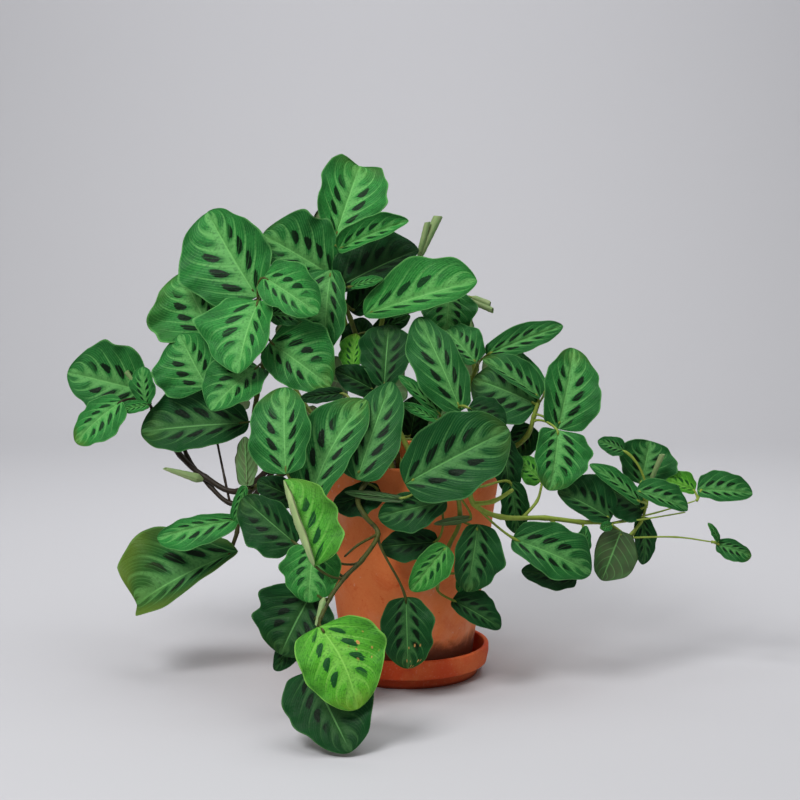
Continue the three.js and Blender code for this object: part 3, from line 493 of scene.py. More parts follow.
class LeafProperties(bpy.types.PropertyGroup):
    """The blades, their stalks and stems."""

    blade_thickness: amount("Blade thickness", "Thickness of a leaf blade", 0.0006, "LENGTH")
    vein_relief: amount("Vein relief", "Height of the quilting between the side veins", 0.001, "LENGTH")
    side_veins: amount("Side veins", "Main side veins in the length of a blade", 5.6)
    # oldest_and_shaded_green: the colour of the oldest blades, and painted shade on blades that lie deep in
    # the plant
    oldest_and_shaded_green: colour("Oldest green", "Colour of the oldest blades, deep in the plant", 0.002, 0.02, 0.004)
    deep_green: colour("Deep green", "Colour of old blades", 0.005, 0.064, 0.013)
    leaf_green: colour("Leaf green", "Colour of grown blades", 0.028, 0.245, 0.041)
    young_green: colour("Young green", "Colour of the youngest blades", 0.085, 0.38, 0.022)
    blotch: colour("Blotch", "Colour of the dark blotches between the side veins", 0.001, 0.009, 0.002)
    young_vein: colour("Young veins", "Colour of the veins of the youngest blades", 0.27, 0.62, 0.1)
    midrib: colour("Midrib", "Colour of the midrib and the main veins", 0.2, 0.54, 0.15)
    underside: colour("Old underside", "Colour of the undersides of old blades", 0.05, 0.085, 0.033)
    pale_underside: colour("Young underside", "Colour of the undersides of young blades", 0.42, 0.52, 0.23)
    stem_green: colour("Green stem", "Colour of young stems and stalks", 0.27, 0.37, 0.05)
    stem_brown: colour("Brown stem", "Colour of old stems", 0.021, 0.0135, 0.0065)
    yellowed: colour("Yellowed tip", "Colour of the tips of ageing blades", 0.2, 0.27, 0.025)
    scorch: colour("Scorch", "Colour of dry spots on damaged blades", 0.6, 0.3, 0.09)


class StudioProperties(bpy.types.PropertyGroup):
    """The floor, the backdrop and the lamps."""

    floor: colour("Floor", "Colour of the floor and the backdrop", 0.55, 0.55, 0.575)
    key_power: amount("Key lamp", "Power of the main soft lamp", 40.0, "POWER")
    top_power: amount("Top lamp", "Power of the overhead soft lamp", 23.0, "POWER")
    backdrop_power: amount("Backdrop lamp", "Power of the soft lamp on the backdrop", 15.0, "POWER")
    surrounding_light: amount("Surrounding light", "Strength of the even light from all round", 0.22)


class PlantProperties(bpy.types.PropertyGroup):
    """Everything about the potted plant that a user may change."""

    pottery: PointerProperty(type=PotteryProperties)
    soil: PointerProperty(type=SoilProperties)
    leaf: PointerProperty(type=LeafProperties)
    studio: PointerProperty(type=StudioProperties)


# Materials

# The colour sockets of a Mix node, which share their names with its other sockets
MIX_LOW = 6
MIX_HIGH = 7
MIX_COLOUR = 2


def worked(operation, swapped=False):
    """A way to work with a signal that a Math node has under this name."""

    def work(self, *others):
        node = self.tree.nodes.new("ShaderNodeMath")
        node.operation = operation
        values = (*others, self) if swapped else (self, *others)
        for socket, value in zip(node.inputs, values):
            feed(socket, value)
        return Signal(self.tree, node.outputs[0])

    return work


class Signal:
    """A number or colour inside a material, which is worked with like a plain number."""

    __add__ = worked("ADD")
    __sub__ = worked("SUBTRACT")
    __rsub__ = worked("SUBTRACT", swapped=True)
    __mul__ = worked("MULTIPLY")
    __truediv__ = worked("DIVIDE")
    __abs__ = worked("ABSOLUTE")
    power = worked("POWER")
    floor = worked("FLOOR")
    fraction = worked("FRACT")
    sign = worked("SIGN")

    def __init__(self, tree, socket):
        self.tree = tree
        self.socket = socket

    def rise(self, low, high):
        """0 below low, 1 above high and smooth between them."""
        node = self.tree.nodes.new("ShaderNodeMapRange")
        node.interpolation_type = "SMOOTHSTEP"
        feed(node.inputs["Value"], self)
        feed(node.inputs["From Min"], low)
        feed(node.inputs["From Max"], high)
        return Signal(self.tree, node.outputs["Result"])

    def fall(self, low, high):
        """1 below low, 0 above high and smooth between them."""
        return 1 - self.rise(low, high)


def feed(socket, value):
    """Gives a node's socket a signal, or a plain number or colour."""
    if isinstance(value, Signal):
        value.tree.links.new(value.socket, socket)
    else:
        socket.default_value = value


class Finish:
    """One material: the makers of its patterns, and the ground colour that its coats build up."""

    def __init__(self, name, ground):
        self.material = bpy.data.materials.new(name)
        self.material.use_nodes = True
        self.tree = self.material.node_tree
        self.skin = self.tree.nodes["Principled BSDF"]
        self.ground = ground

    def node(self, kind, output, inputs, **settings):
        """What an output of a new node gives for its inputs."""
        node = self.tree.nodes.new(kind)
        for name, value in settings.items():
            setattr(node, name, value)
        for name, value in inputs.items():
            feed(node.inputs[name], value)
        return Signal(self.tree, node.outputs[output])

    def attribute(self, name):
        return self.node("ShaderNodeAttribute", "Fac", {}, attribute_name=name)

    def part(self, axis, place):
        return self.node("ShaderNodeSeparateXYZ", axis, {"Vector": place})

    def leaf_place(self):
        """The place on a blade: across it from -1 to 1, and along it from 0 to 1."""
        place = self.node("ShaderNodeUVMap", "UV", {}, uv_map="blade")
        return self.part("X", place) * 2 - 1, self.part("Y", place)

    def position(self):
        return self.node("ShaderNodeTexCoord", "Object", {})

    def vector(self, x, y, z):
        return self.node("ShaderNodeCombineXYZ", "Vector", {"X": x, "Y": y, "Z": z})

    def noise(self, place, scale, detail, roughness=0.5, distortion=0.0):
        inputs = {
            "Vector": place,
            "Scale": scale,
            "Detail": detail,
            "Roughness": roughness,
            "Distortion": distortion,
        }
        return self.node("ShaderNodeTexNoise", "Fac", inputs)

    def dots(self, place, scale):
        return self.node("ShaderNodeTexVoronoi", "Distance", {"Vector": place, "Scale": scale})

    def chance(self, place):
        """An even random number for each whole place."""
        return self.node("ShaderNodeTexWhiteNoise", "Value", {"Vector": place})

    def mix(self, share, low, high):
        inputs = {"Factor": share, MIX_LOW: low, MIX_HIGH: high}
        return self.node("ShaderNodeMix", MIX_COLOUR, inputs, data_type="RGBA")

    def coat(self, share, colour):
        """Lays a colour over the ground colour by a share from 0 to 1."""
        self.ground = self.mix(share, self.ground, colour)

    def bump(self, height, distance, strength):
        inputs = {"Height": height, "Distance": distance, "Strength": strength}
        feed(self.skin.inputs["Normal"], self.node("ShaderNodeBump", "Normal", inputs))

    def done(self, roughness, specular=0.5):
        feed(self.skin.inputs["Base Color"], self.ground)
        feed(self.skin.inputs["Roughness"], roughness)
        self.skin.inputs["Specular IOR Level"].default_value = specular
        return self.material


# How the side veins run over a blade, in its skin and in its form: how far they slant and bend back towards
# its base, how far those of one half stand from those of the other, and how much they differ between leaves
VEIN_SLANT = 0.25
VEIN_BEND = 0.2
VEIN_STAGGER = 0.17
VEIN_CHANCE = 0.6


def veins(finish, across, along, leaf):
    """Where a place lies among the side veins: its distance from the midrib, how far it is from the middle
    between two veins, and the number of the space between them."""
    out = abs(across)
    course = along - out * VEIN_SLANT - out * out * VEIN_BEND
    phase = course * leaf.side_veins + across.sign() * VEIN_STAGGER + finish.attribute("chance") * VEIN_CHANCE
    between = abs(phase.fraction() - 0.5)
    return out, course, between, phase.floor()


def blade_top(leaf):
    finish = Finish("leaf_top", leaf.oldest_and_shaded_green)
    across, along = finish.leaf_place()
    youth_and_light = finish.attribute("youth_and_light")
    chance = finish.attribute("chance")
    out, course, between, space = veins(finish, across, along, leaf)
    lengthways = finish.vector(course * 60, out * 5, chance * 40 + across.sign() * 9)
    streak = finish.noise(lengthways, scale=1, detail=3)
    cloud = finish.noise(finish.vector(across, along * 2, chance * 30), scale=2.2, detail=4)
    luck = finish.chance(finish.vector(space, across.sign(), chance))

    # Ground colour by age and by painted shade: the darkest green for the oldest blades and for blades in
    # shade, in clouds
    finish.coat(youth_and_light.rise(0.0, 0.3), leaf.deep_green)
    finish.coat(youth_and_light.rise(0.2, 0.65), leaf.leaf_green)
    finish.coat(youth_and_light.rise(0.6, 1.0), leaf.young_green)
    vein = finish.mix(youth_and_light.rise(0.6, 1.0), leaf.midrib, leaf.young_vein)
    pale = finish.mix(youth_and_light.rise(0.0, 0.5) * 0.5 + 0.06, finish.ground, vein)
    finish.coat(cloud.rise(0.4, 0.75) * youth_and_light.fall(0.5, 1.0) * 0.6, leaf.deep_green)

    # Paler feathers along the midrib and the main side veins, and fine veins between them
    reach = between * between * 1.7 + 0.07 + streak * 0.12
    finish.coat((out / reach).fall(0.4, 1.5) * 0.85, pale)
    finish.coat(between.rise(0.38, 0.5) * out.fall(0.5, 1.0) * 0.85, pale)
    fine = (course * leaf.side_veins * 5).fraction()
    finish.coat(abs(fine - 0.5).rise(0.34, 0.5) * 0.5, pale)
    mottle = finish.noise(finish.vector(across * 6, along * 14, chance * 50), scale=3, detail=5)
    finish.coat(mottle.rise(0.48, 0.68) * 0.42, leaf.deep_green)
    finish.coat(out.rise(0.45, 1.0) * 0.4, leaf.deep_green)

    # Dark blotches between the side veins, pointed towards the midrib
    outward = (out - 0.34) / (luck * 0.08 + 0.11)
    spread = outward * 0.12 + 0.3
    shape = outward * outward + (between / spread).power(2)
    ragged = shape + (streak - 0.5) * (outward * 0.6 + 1.2) + (luck - 0.5) * 0.3
    ends = course.rise(-0.12, 0.02) * course.fall(0.52, 0.66)
    split = between.fall(0.0, 0.05) * luck.rise(0.5, 0.6) * 0.5
    dark = finish.mix(youth_and_light.rise(0.45, 0.85), leaf.blotch, leaf.deep_green)
    finish.coat(ragged.fall(0.76, 1.02) * ends * (0.98 - split), dark)

    # Midrib, pale edge, yellowing and dry spots
    finish.coat(out.fall(0.01, 0.026) * along.fall(0.7, 1.0) * (youth_and_light * 0.5 + 0.4), vein)
    finish.coat(out.rise(0.95, 0.99) * (youth_and_light * 0.5 + 0.1), vein)
    yellowing = along.rise(0.72, 1.0) * cloud.rise(0.3, 0.6) * chance.rise(0.55, 0.8) * 0.5
    finish.coat(yellowing * youth_and_light, leaf.yellowed)
    ageing = (along.rise(0.35, 1.0) * 0.5 + out.rise(0.3, 1.0) * 0.6) * (cloud * 0.6 + 0.6)
    finish.coat((ageing * finish.attribute("aged")).rise(0.0, 1.0), leaf.yellowed)
    spots = finish.dots(finish.vector(across * 3, along * 4, chance * 20), scale=2.2)
    finish.coat(spots.fall(0.18, 0.26) * finish.attribute("worn").rise(0.1, 0.4), leaf.scorch)

    sheen = finish.noise(finish.position(), scale=90, detail=3)
    finish.bump(streak * 0.6 + mottle * 0.4, distance=0.0012, strength=0.9)
    return finish.done(sheen * 0.25 + 0.32, specular=0.12)


def blade_underside(leaf):
    finish = Finish("leaf_underside", leaf.underside)
    across, along = finish.leaf_place()
    out, course, between, _ = veins(finish, across, along, leaf)
    # Paler undersides for young blades; low youth_and_light values paint shade on shaded blades
    finish.coat(finish.attribute("youth_and_light").rise(0.1, 0.95), leaf.pale_underside)
    place = finish.vector(across, along, finish.attribute("chance") * 30)
    shade = finish.noise(place, scale=2.4, detail=3)
    finish.coat(shade.rise(0.3, 0.75) * 0.35, leaf.leaf_green)
    finish.coat(between.rise(0.4, 0.5) * out.fall(0.6, 1.0) * 0.3, leaf.midrib)
    finish.coat(out.fall(0.02, 0.05) * 0.5, leaf.midrib)
    finish.bump(course * 40, distance=0.0002, strength=0.3)
    return finish.done(shade * 0.2 + 0.45, specular=0.2)


def stem_skin(leaf):
    finish = Finish("stem", leaf.stem_green)
    mottle = finish.noise(finish.position(), scale=220, detail=4)
    bark = finish.attribute("bark")
    finish.coat(bark, leaf.stem_brown)
    finish.coat(mottle.rise(0.45, 0.7) * (bark * 0.5 + 0.15), leaf.stem_brown)
    finish.bump(mottle, distance=0.0004, strength=0.6)
    return finish.done(mottle * 0.3 + 0.35, specular=0.25)


def pot_skin(pottery):
    finish = Finish("terracotta", pottery.pot_clay)
    place = finish.position()
    height = finish.part("Z", place)
    clouds = finish.noise(place, scale=11, detail=5, roughness=0.6, distortion=0.4)
    grain = finish.noise(place, scale=420, detail=4, roughness=0.6)
    specks = finish.noise(place, scale=150, detail=3, roughness=0.7)
    stains = finish.noise(place, scale=38, detail=6, roughness=0.7, distortion=0.6)
    finish.coat(grain * 0.4 + stains.rise(0.5, 0.72) * 0.4, pottery.saucer_clay)
    low = height.fall(0.03, 0.13)
    finish.coat(clouds.rise(0.5, 0.7) * 0.45 + low * clouds.rise(0.4, 0.6) * 0.4, pottery.pot_bloom)
    finish.coat(specks.rise(0.64, 0.72) * 0.45, pottery.pot_bloom)
    finish.coat(specks.fall(0.28, 0.36) * 0.5, pottery.saucer_clay)
    # Darker round the foot: damp clay and a painted contact shadow where the pot stands in its saucer
    finish.coat((height + stains * 0.03).fall(0.048, 0.064) * 0.85, pottery.damp_and_shaded_clay)
    finish.bump(grain * 0.5 + specks * 0.5, distance=0.0006, strength=0.7)
    return finish.done(grain * 0.2 + 0.7, specular=0.2)


def saucer_skin(pottery):
    finish = Finish("red_clay", pottery.saucer_clay)
    place = finish.position()
    height = finish.part("Z", place)
    clouds = finish.noise(place, scale=22, detail=5, roughness=0.6)
    grain = finish.noise(place, scale=420, detail=4, roughness=0.6)
    finish.coat(clouds.rise(0.45, 0.7) * 0.5, pottery.pot_clay)
    finish.coat(grain.rise(0.55, 0.75) * 0.25, pottery.pot_bloom)
    # Darker towards the bottom: damp clay and painted shade on the saucer's floor round the pot, under its
    # band and, strongest, where it stands
    finish.coat(height.fall(0.009, 0.013) * 0.3, pottery.damp_and_shaded_clay)
    finish.coat(height.fall(0.001, 0.004) * 0.7, pottery.damp_and_shaded_clay)
    finish.bump(grain, distance=0.0006, strength=0.6)
    return finish.done(clouds * 0.25 + 0.55, specular=0.25)


def soil_skin(soil):
    finish = Finish("potting_soil", soil.soil_dark)
    place = finish.position()
    crumbs = finish.noise(place, scale=160, detail=5, roughness=0.7)
    clods = finish.noise(place, scale=45, detail=4, roughness=0.6)
    finish.coat(crumbs.rise(0.45, 0.8), soil.soil_light)
    finish.coat(clods.rise(0.55, 0.75) * 0.5, soil.soil_dark)
    finish.bump(crumbs, distance=0.0012, strength=1)
    return finish.done(crumbs * 0.15 + 0.85)


def studio_skin(studio):
    return Finish("studio", studio.floor).done(0.85)


# Pottery and soil
SAME_PLACE = 1e-6
TURNED_STEPS = 144
SOIL_STEPS = 96
SHARP = math.radians(40)
SHARP_IN_SOIL = math.radians(60)
SOIL_SEED = 5
SMALLEST_CRUMB = 0.0009
LARGEST_CRUMB = 0.0026


def finished(name, body, materials, node):
    """Turns a built mesh into a piece that stands for a node of the frame."""
    piece = placed(name, body, materials)
    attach(piece, "root")
    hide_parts(node)


def placed(name, body, materials):
    mesh = bpy.data.meshes.new(name)
    body.to_mesh(mesh)
    body.free()
    for material in materials:
        mesh.materials.append(material)
    return shown(name, mesh)


def shown(name, data):
    """Puts a mesh, a lamp or a camera into the scene."""
    thing = bpy.data.objects.new(name, data)
    bpy.context.scene.collection.objects.link(thing)
    return thing


def only(kind, items):
    """The vertices, edges or faces among what an operator gives back."""
    return [item for item in items if isinstance(item, kind)]


def arc(radius, height, size, start, end, steps=6):
    """Points on a rounding, angles in degrees from the outward direction."""
    turns = [math.radians(start + (end - start) * i / steps) for i in range(steps + 1)]
    return [(radius + size * math.cos(turn), height + size * math.sin(turn)) for turn in turns]


def turned(outline, steps, closed=False):
    """A body spun round the pot's axis from an outline of (radius, height)."""
    body = bmesh.new()
    points = [body.verts.new((radius, 0, height)) for radius, height in outline]
    pairs = list(zip(points, points[1:]))
    if closed:
        pairs.append((points[-1], points[0]))
    edges = [body.edges.new(pair) for pair in pairs]
    bmesh.ops.spin(
        body, geom=points + edges, cent=(0, 0, 0), axis=(0, 0, 1), angle=math.tau, steps=steps, use_merge=True
    )
    bmesh.ops.remove_doubles(body, verts=body.verts, dist=SAME_PLACE)
    bmesh.ops.recalc_face_normals(body, faces=body.faces)
    return body


def smoothed(body, sharp_angle=SHARP):
    for face in body.faces:
        face.smooth = True
    for edge in body.edges:
        edge.smooth = len(edge.link_faces) == 2 and edge.calc_face_angle() < sharp_angle
    return body


class PotSide:
    """The straight slope of the pot's side, from its base to its rim."""

    def __init__(self, pottery):
        self.low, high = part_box("pot")
        self.base = pottery.pot_base_radius
        self.top = high.y
        self.rim_height = high.z
        self.slope = (self.top - self.base) / (high.z - self.low.z)

    def radius(self, height):
        return self.base + (height - self.low.z) * self.slope


def pot_body(pottery):
    """The pot, slightly uneven as if thrown by hand."""
    side = PotSide(pottery)
    low = side.low.z
    high = side.rim_height
    wall = pottery.pot_wall
    lip = 0.0026
    foot = 0.002
    drain = 0.007
    floor = low + 0.009
    outer_steps = 24
    inner_steps = 12
    outer = [low + foot + (high - lip - low - foot) * i / outer_steps for i in range(outer_steps + 1)]
    inner = [high - lip - (high - lip - floor - foot) * i / inner_steps for i in range(1, inner_steps)]
    outline = [(drain, low), (side.base - foot, low)]
    outline += arc(side.radius(low + foot) - foot, low + foot, foot, -80, -10, 3)
    outline += [(side.radius(height), height) for height in outer]
    outline += arc(side.top - lip, high - lip, lip, 15, 90)
    outline += arc(side.top - wall + lip, high - lip, lip, 90, 165)
    outline += [(side.radius(height) - wall, height) for height in inner]
    outline += [(side.radius(floor) - wall - foot, floor), (drain, floor)]
    body = turned(outline, TURNED_STEPS, closed=True)

    ridges_round = 14
    ridges_up = 60
    ridge_height = 0.0004
    near_side = side.base * 0.9
    for vert in body.verts:
        away = Vector((vert.co.x, vert.co.y, 0))
        if away.length > near_side and low + foot < vert.co.z < high:
            place = (vert.co.x * ridges_round, vert.co.y * ridges_round, vert.co.z * ridges_up)
            vert.co += away.normalized() * (noise.noise(Vector(place)) - 0.5) * ridge_height
    return smoothed(body)


def saucer_body(pottery):
    """The saucer, with a stepped-in foot under its wide band."""
    _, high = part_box("saucer")
    rim = high.y
    wall = pottery.saucer_wall
    floor = pottery.saucer_floor
    foot = 0.070
    band_low = 0.011
    band_high = high.z - 0.008
    band_slope = 0.002
    edge = 0.001
    lip = 0.0018
    band_foot = rim - band_slope
    outline = [(0, 0), (foot - edge, 0)]
    outline += arc(foot - edge, edge, edge, -90, 0, 3)
    outline += arc(foot + 2 * edge, band_low - edge, edge, 180, 90, 3)
    outline += arc(band_foot - edge, band_low + edge, edge, -90, 0, 3)
    outline += [(rim, band_high)]
    outline += arc(rim - lip, high.z - lip, lip, 0, 90)
    outline += arc(rim - wall + lip, high.z - lip, lip, 90, 180)
    outline += arc(foot - edge, floor + 2 * edge, 2 * edge, 0, -90, 4)
    outline += [(foot * share, floor) for share in (0.75, 0.5, 0.25, 0)]
    return smoothed(turned(outline, TURNED_STEPS))


def soil_body(soil, pottery):
    """The soil, lumpy on top, with crumbs lying on it."""
    low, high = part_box("soil")
    side = PotSide(pottery)
    gap = 0.0003
    chamfer = 0.004
    shoulder = high.z - 0.003
    rings = 22

    def inside(height):
        return side.radius(height) - pottery.pot_wall - gap

    rim = inside(shoulder)
    outline = [(0, low.z), (inside(low.z) - chamfer, low.z), (inside(low.z + chamfer), low.z + chamfer)]
    outline += [(rim, shoulder)]
    outline += [((rim - chamfer) * (1 - i / rings), high.z) for i in range(rings + 1)]
    body = turned(outline, SOIL_STEPS)
    lumps_in_metre = 90
    mean_lump = 0.3
    for vert in body.verts:
        if vert.co.z > shoulder + gap:
            lumps = noise.fractal(vert.co * lumps_in_metre, 1.0, 2.1, 4)
            vert.co.z += soil.unevenness * (lumps - mean_lump)
    draw = random.Random(SOIL_SEED)
    noise.seed_set(SOIL_SEED)
    clear_of_pot = 0.006
    for _ in range(soil.crumbs):
        add_crumb(body, draw, rim - clear_of_pot, high.z)
    return smoothed(body, SHARP_IN_SOIL)


def add_crumb(body, draw, reach, height):
    """A crumb of soil lying anywhere within reach of the pot's axis."""
    away = reach * math.sqrt(draw.random())
    turn = draw.uniform(0, math.tau)
    size = draw.uniform(SMALLEST_CRUMB, LARGEST_CRUMB)
    out_of_soil = 0.3
    centre = Vector((away * math.cos(turn), away * math.sin(turn), height + size * out_of_soil))
    stretch = Matrix.Diagonal((1, draw.uniform(0.5, 1), draw.uniform(0.4, 0.8), 1))
    spin = Matrix.Rotation(draw.uniform(0, math.tau), 4, "Z")
    place = Matrix.Translation(centre) @ spin @ stretch
    crumb = bmesh.ops.create_icosphere(body, subdivisions=1, radius=size, matrix=place)["verts"]
    roughness = 0.35
    bumps_in_metre = 900
    for vert in crumb:
        vert.co += noise.noise_vector(vert.co * bumps_in_metre) * size * roughness


# Places and courses
def sight(place):
    """The point that a pixel of the photograph shows, at its distance in front of the pot's axis."""
    x, y, forward = place
    across = x - FRAME_PIXELS / 2
    up = FRAME_PIXELS / 2 - y
    away = FOCAL_PIXELS * math.cos(PITCH) + up * math.sin(PITCH)
    rise = up * math.cos(PITCH) - FOCAL_PIXELS * math.sin(PITCH)
    return EYE + Vector((across, away, rise)) * ((-forward * MM - EYE.y) / away)


def bell(distance, width):
    return math.exp(-((distance / width) ** 2))


class Course:
    """A smooth line through points, read by a position that counts the points from 0."""

    def __init__(self, points):
        self.spans = len(points) - 1
        self.points = [2 * points[0] - points[1], *points, 2 * points[-1] - points[-2]]

    def at(self, position):
        position = min(position, self.spans * LAST_ON_STEM)
        span = min(int(position), self.spans - 1)
        before, start, end, after = self.points[span:span + 4]
        part = position - span
        leave = (end - before) / 2
        arrive = (after - start) / 2
        bend = 3 * (end - start) - 2 * leave - arrive
        close = 2 * (start - end) + leave + arrive
        return start + leave * part + bend * part ** 2 + close * part ** 3

    def heading(self, position):
        step = 0.02
        position = min(max(position, step), self.spans * LAST_ON_STEM - step)
        return (self.at(position + step) - self.at(position - step)).normalized()

    def along(self, steps_in_span):
        count = self.spans * steps_in_span
        return [self.spans * i / count for i in range(count + 1)]

    def nearest(self, point):
        spots = [self.at(position) for position in self.along(12)]
        return nearest(spots, point)


def nearest(spots, point):
    return min(spots, key=lambda spot: (spot - point).length)


def stem_courses(shoot):
    across, forward = shoot["root"]
    foot_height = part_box("pot")[1].z - SOIL_BELOW_RIM + FOOT_ABOVE_SOIL
    courses = []
    for _, places in shoot["stems"]:
        points = [sight(place) for place in places]
        if courses:
            points[0] = nearest([course.nearest(points[0]) for course in courses], points[0])
        else:
            points.insert(0, Vector((across * MM, -forward * MM, foot_height)))
        courses.append(Course(points))
    return courses


# Stems and stalks
STEM_SIDES = 10
STALK_SIDES = 8


def tube(body, points, radii, sides):
    """A round stem through the points, drawn out from a circle at the first."""
    headings = [(b - a).normalized() for a, b in zip(points, points[1:])]
    headings.append(headings[-1])
    ways = [headings[0]] + [(a + b).normalized() for a, b in zip(headings, headings[1:])]
    start = Matrix.Translation(points[0]) @ ways[0].to_track_quat("Z", "Y").to_matrix().to_4x4()
    ring = bmesh.ops.create_circle(
        body, cap_ends=True, radius=radii[0], segments=sides, matrix=start
    )["verts"]
    cap = ring[0].link_faces[0]
    if cap.normal.dot(ways[0]) > 0:
        cap.normal_flip()
    edges = list({edge for vert in ring for edge in vert.link_edges})
    for i in range(1, len(points)):
        grown = bmesh.ops.extrude_edge_only(body, edges=edges)["geom"]
        verts = only(bmesh.types.BMVert, grown)
        edges = only(bmesh.types.BMEdge, grown)
        edges = [edge for edge in edges if all(vert in verts for vert in edge.verts)]
        turn = ways[i - 1].rotation_difference(ways[i]).to_matrix().to_4x4()
        size = Matrix.Scale(radii[i] / radii[i - 1], 4)
        move = Matrix.Translation(points[i]) @ turn @ size @ Matrix.Translation(-points[i - 1])
        bmesh.ops.transform(body, matrix=move, verts=verts)
    bmesh.ops.edgeloop_fill(body, edges=edges)


def add_stem(body, course, share, rooted):
    """A stem with a slight swelling at each joint, thinner towards its tip."""
    positions = course.along(steps_in_span=7)
    points = [course.at(position) for position in positions]
    joint_swelling = 0.22
    joint_length = 0.12
    taper = 0.25
    tip_share = 0.6
    in_soil = 0.02
    radii = []
    for position in positions:
        swelling = 1 + joint_swelling * bell(abs(position - round(position)), joint_length)
        radii.append(STEM_RADIUS * share * swelling * (1 - taper * position / course.spans))
    radii[-1] *= tip_share
    if rooted:
        points.insert(0, points[0] - UP * in_soil)
        radii.insert(0, radii[0])
    tube(body, points, radii, STEM_SIDES)


def add_stalk(body, course, position, end, heading):
    """A leaf stalk, which leaves its stem along the stem and arrives in line with what it carries."""
    start = course.at(position)
    reach = (end - start).length
    leave = start + course.heading(position) * reach * STALK_LEAVE
    arrive = end - heading * reach * STALK_ARRIVE
    points = geometry.interpolate_bezier(start, leave, arrive, end, 14)
    last = len(points) - 1
    sheath_swelling = 0.5
    sheaths_in_stalk = 4
    knee_swelling = 0.3
    knee_at = 0.86
    knee_length = 0.08
    tip_share = 0.45
    radii = []
    for i in range(last + 1):
        sheath = 1 + sheath_swelling * max(1 - i / last * sheaths_in_stalk, 0)
        knee = 1 + knee_swelling * bell(i / last - knee_at, knee_length)
        radii.append(STALK_RADIUS * sheath * knee)
    radii[-1] *= tip_share
    tube(body, points, radii, STALK_SIDES)


# Blades
FRILL_HEIGHT = 0.022
FRILLS = 4.3
FRILL_SHIFT = 1.7
UNEVEN_MARGIN = 0.2
UNEVEN_ALONG = 5
UNEVEN_BY_NUMBER = 7.3
UNEVEN_BY_HALF = 3.1
UNEVEN_BY_LENGTH = 900
POINT_START = 0.95
POINT_SPAN = 0.05
POINT_LENGTH = 0.01
POINT_LOST_IN_NOTCH = 0.1
ROLL_TURNS = 0.625
ROLL_TIGHTENING = 0.22
ROLL_BASE_SHARE = 0.25
ROLL_OPENING = 5
ROLL_SLANT = 0.12
LARGE_BLADE = 0.062
LARGE_BLADE_ROWS = (60, 28)
SMALL_BLADE_ROWS = (44, 20)
CLOSER_AT_MIDRIB = 1.15
QUILTING_FADES = 0.15
QUILTING_FADES_AT_BASE = 0.1
GROOVE_WIDTH = 0.05
GROOVE_DEPTH = 1.4
GROOVE_FADES = 0.2
SHRINK = 0.99

# The slots of a shoot's skins, after that of the tops of its blades
UNDERSIDE = 1
STEM = 2


class LeafSurface:
    """A leaf's surface, whose place() gives its point along it from 0 to 1 and across it from -1 to 1."""

    def __init__(self, row):
        self.base = sight(row.base)
        self.tip = sight(row.tip)
        self.length = (self.tip - self.base).length
        self.axis = (self.tip - self.base).normalized()


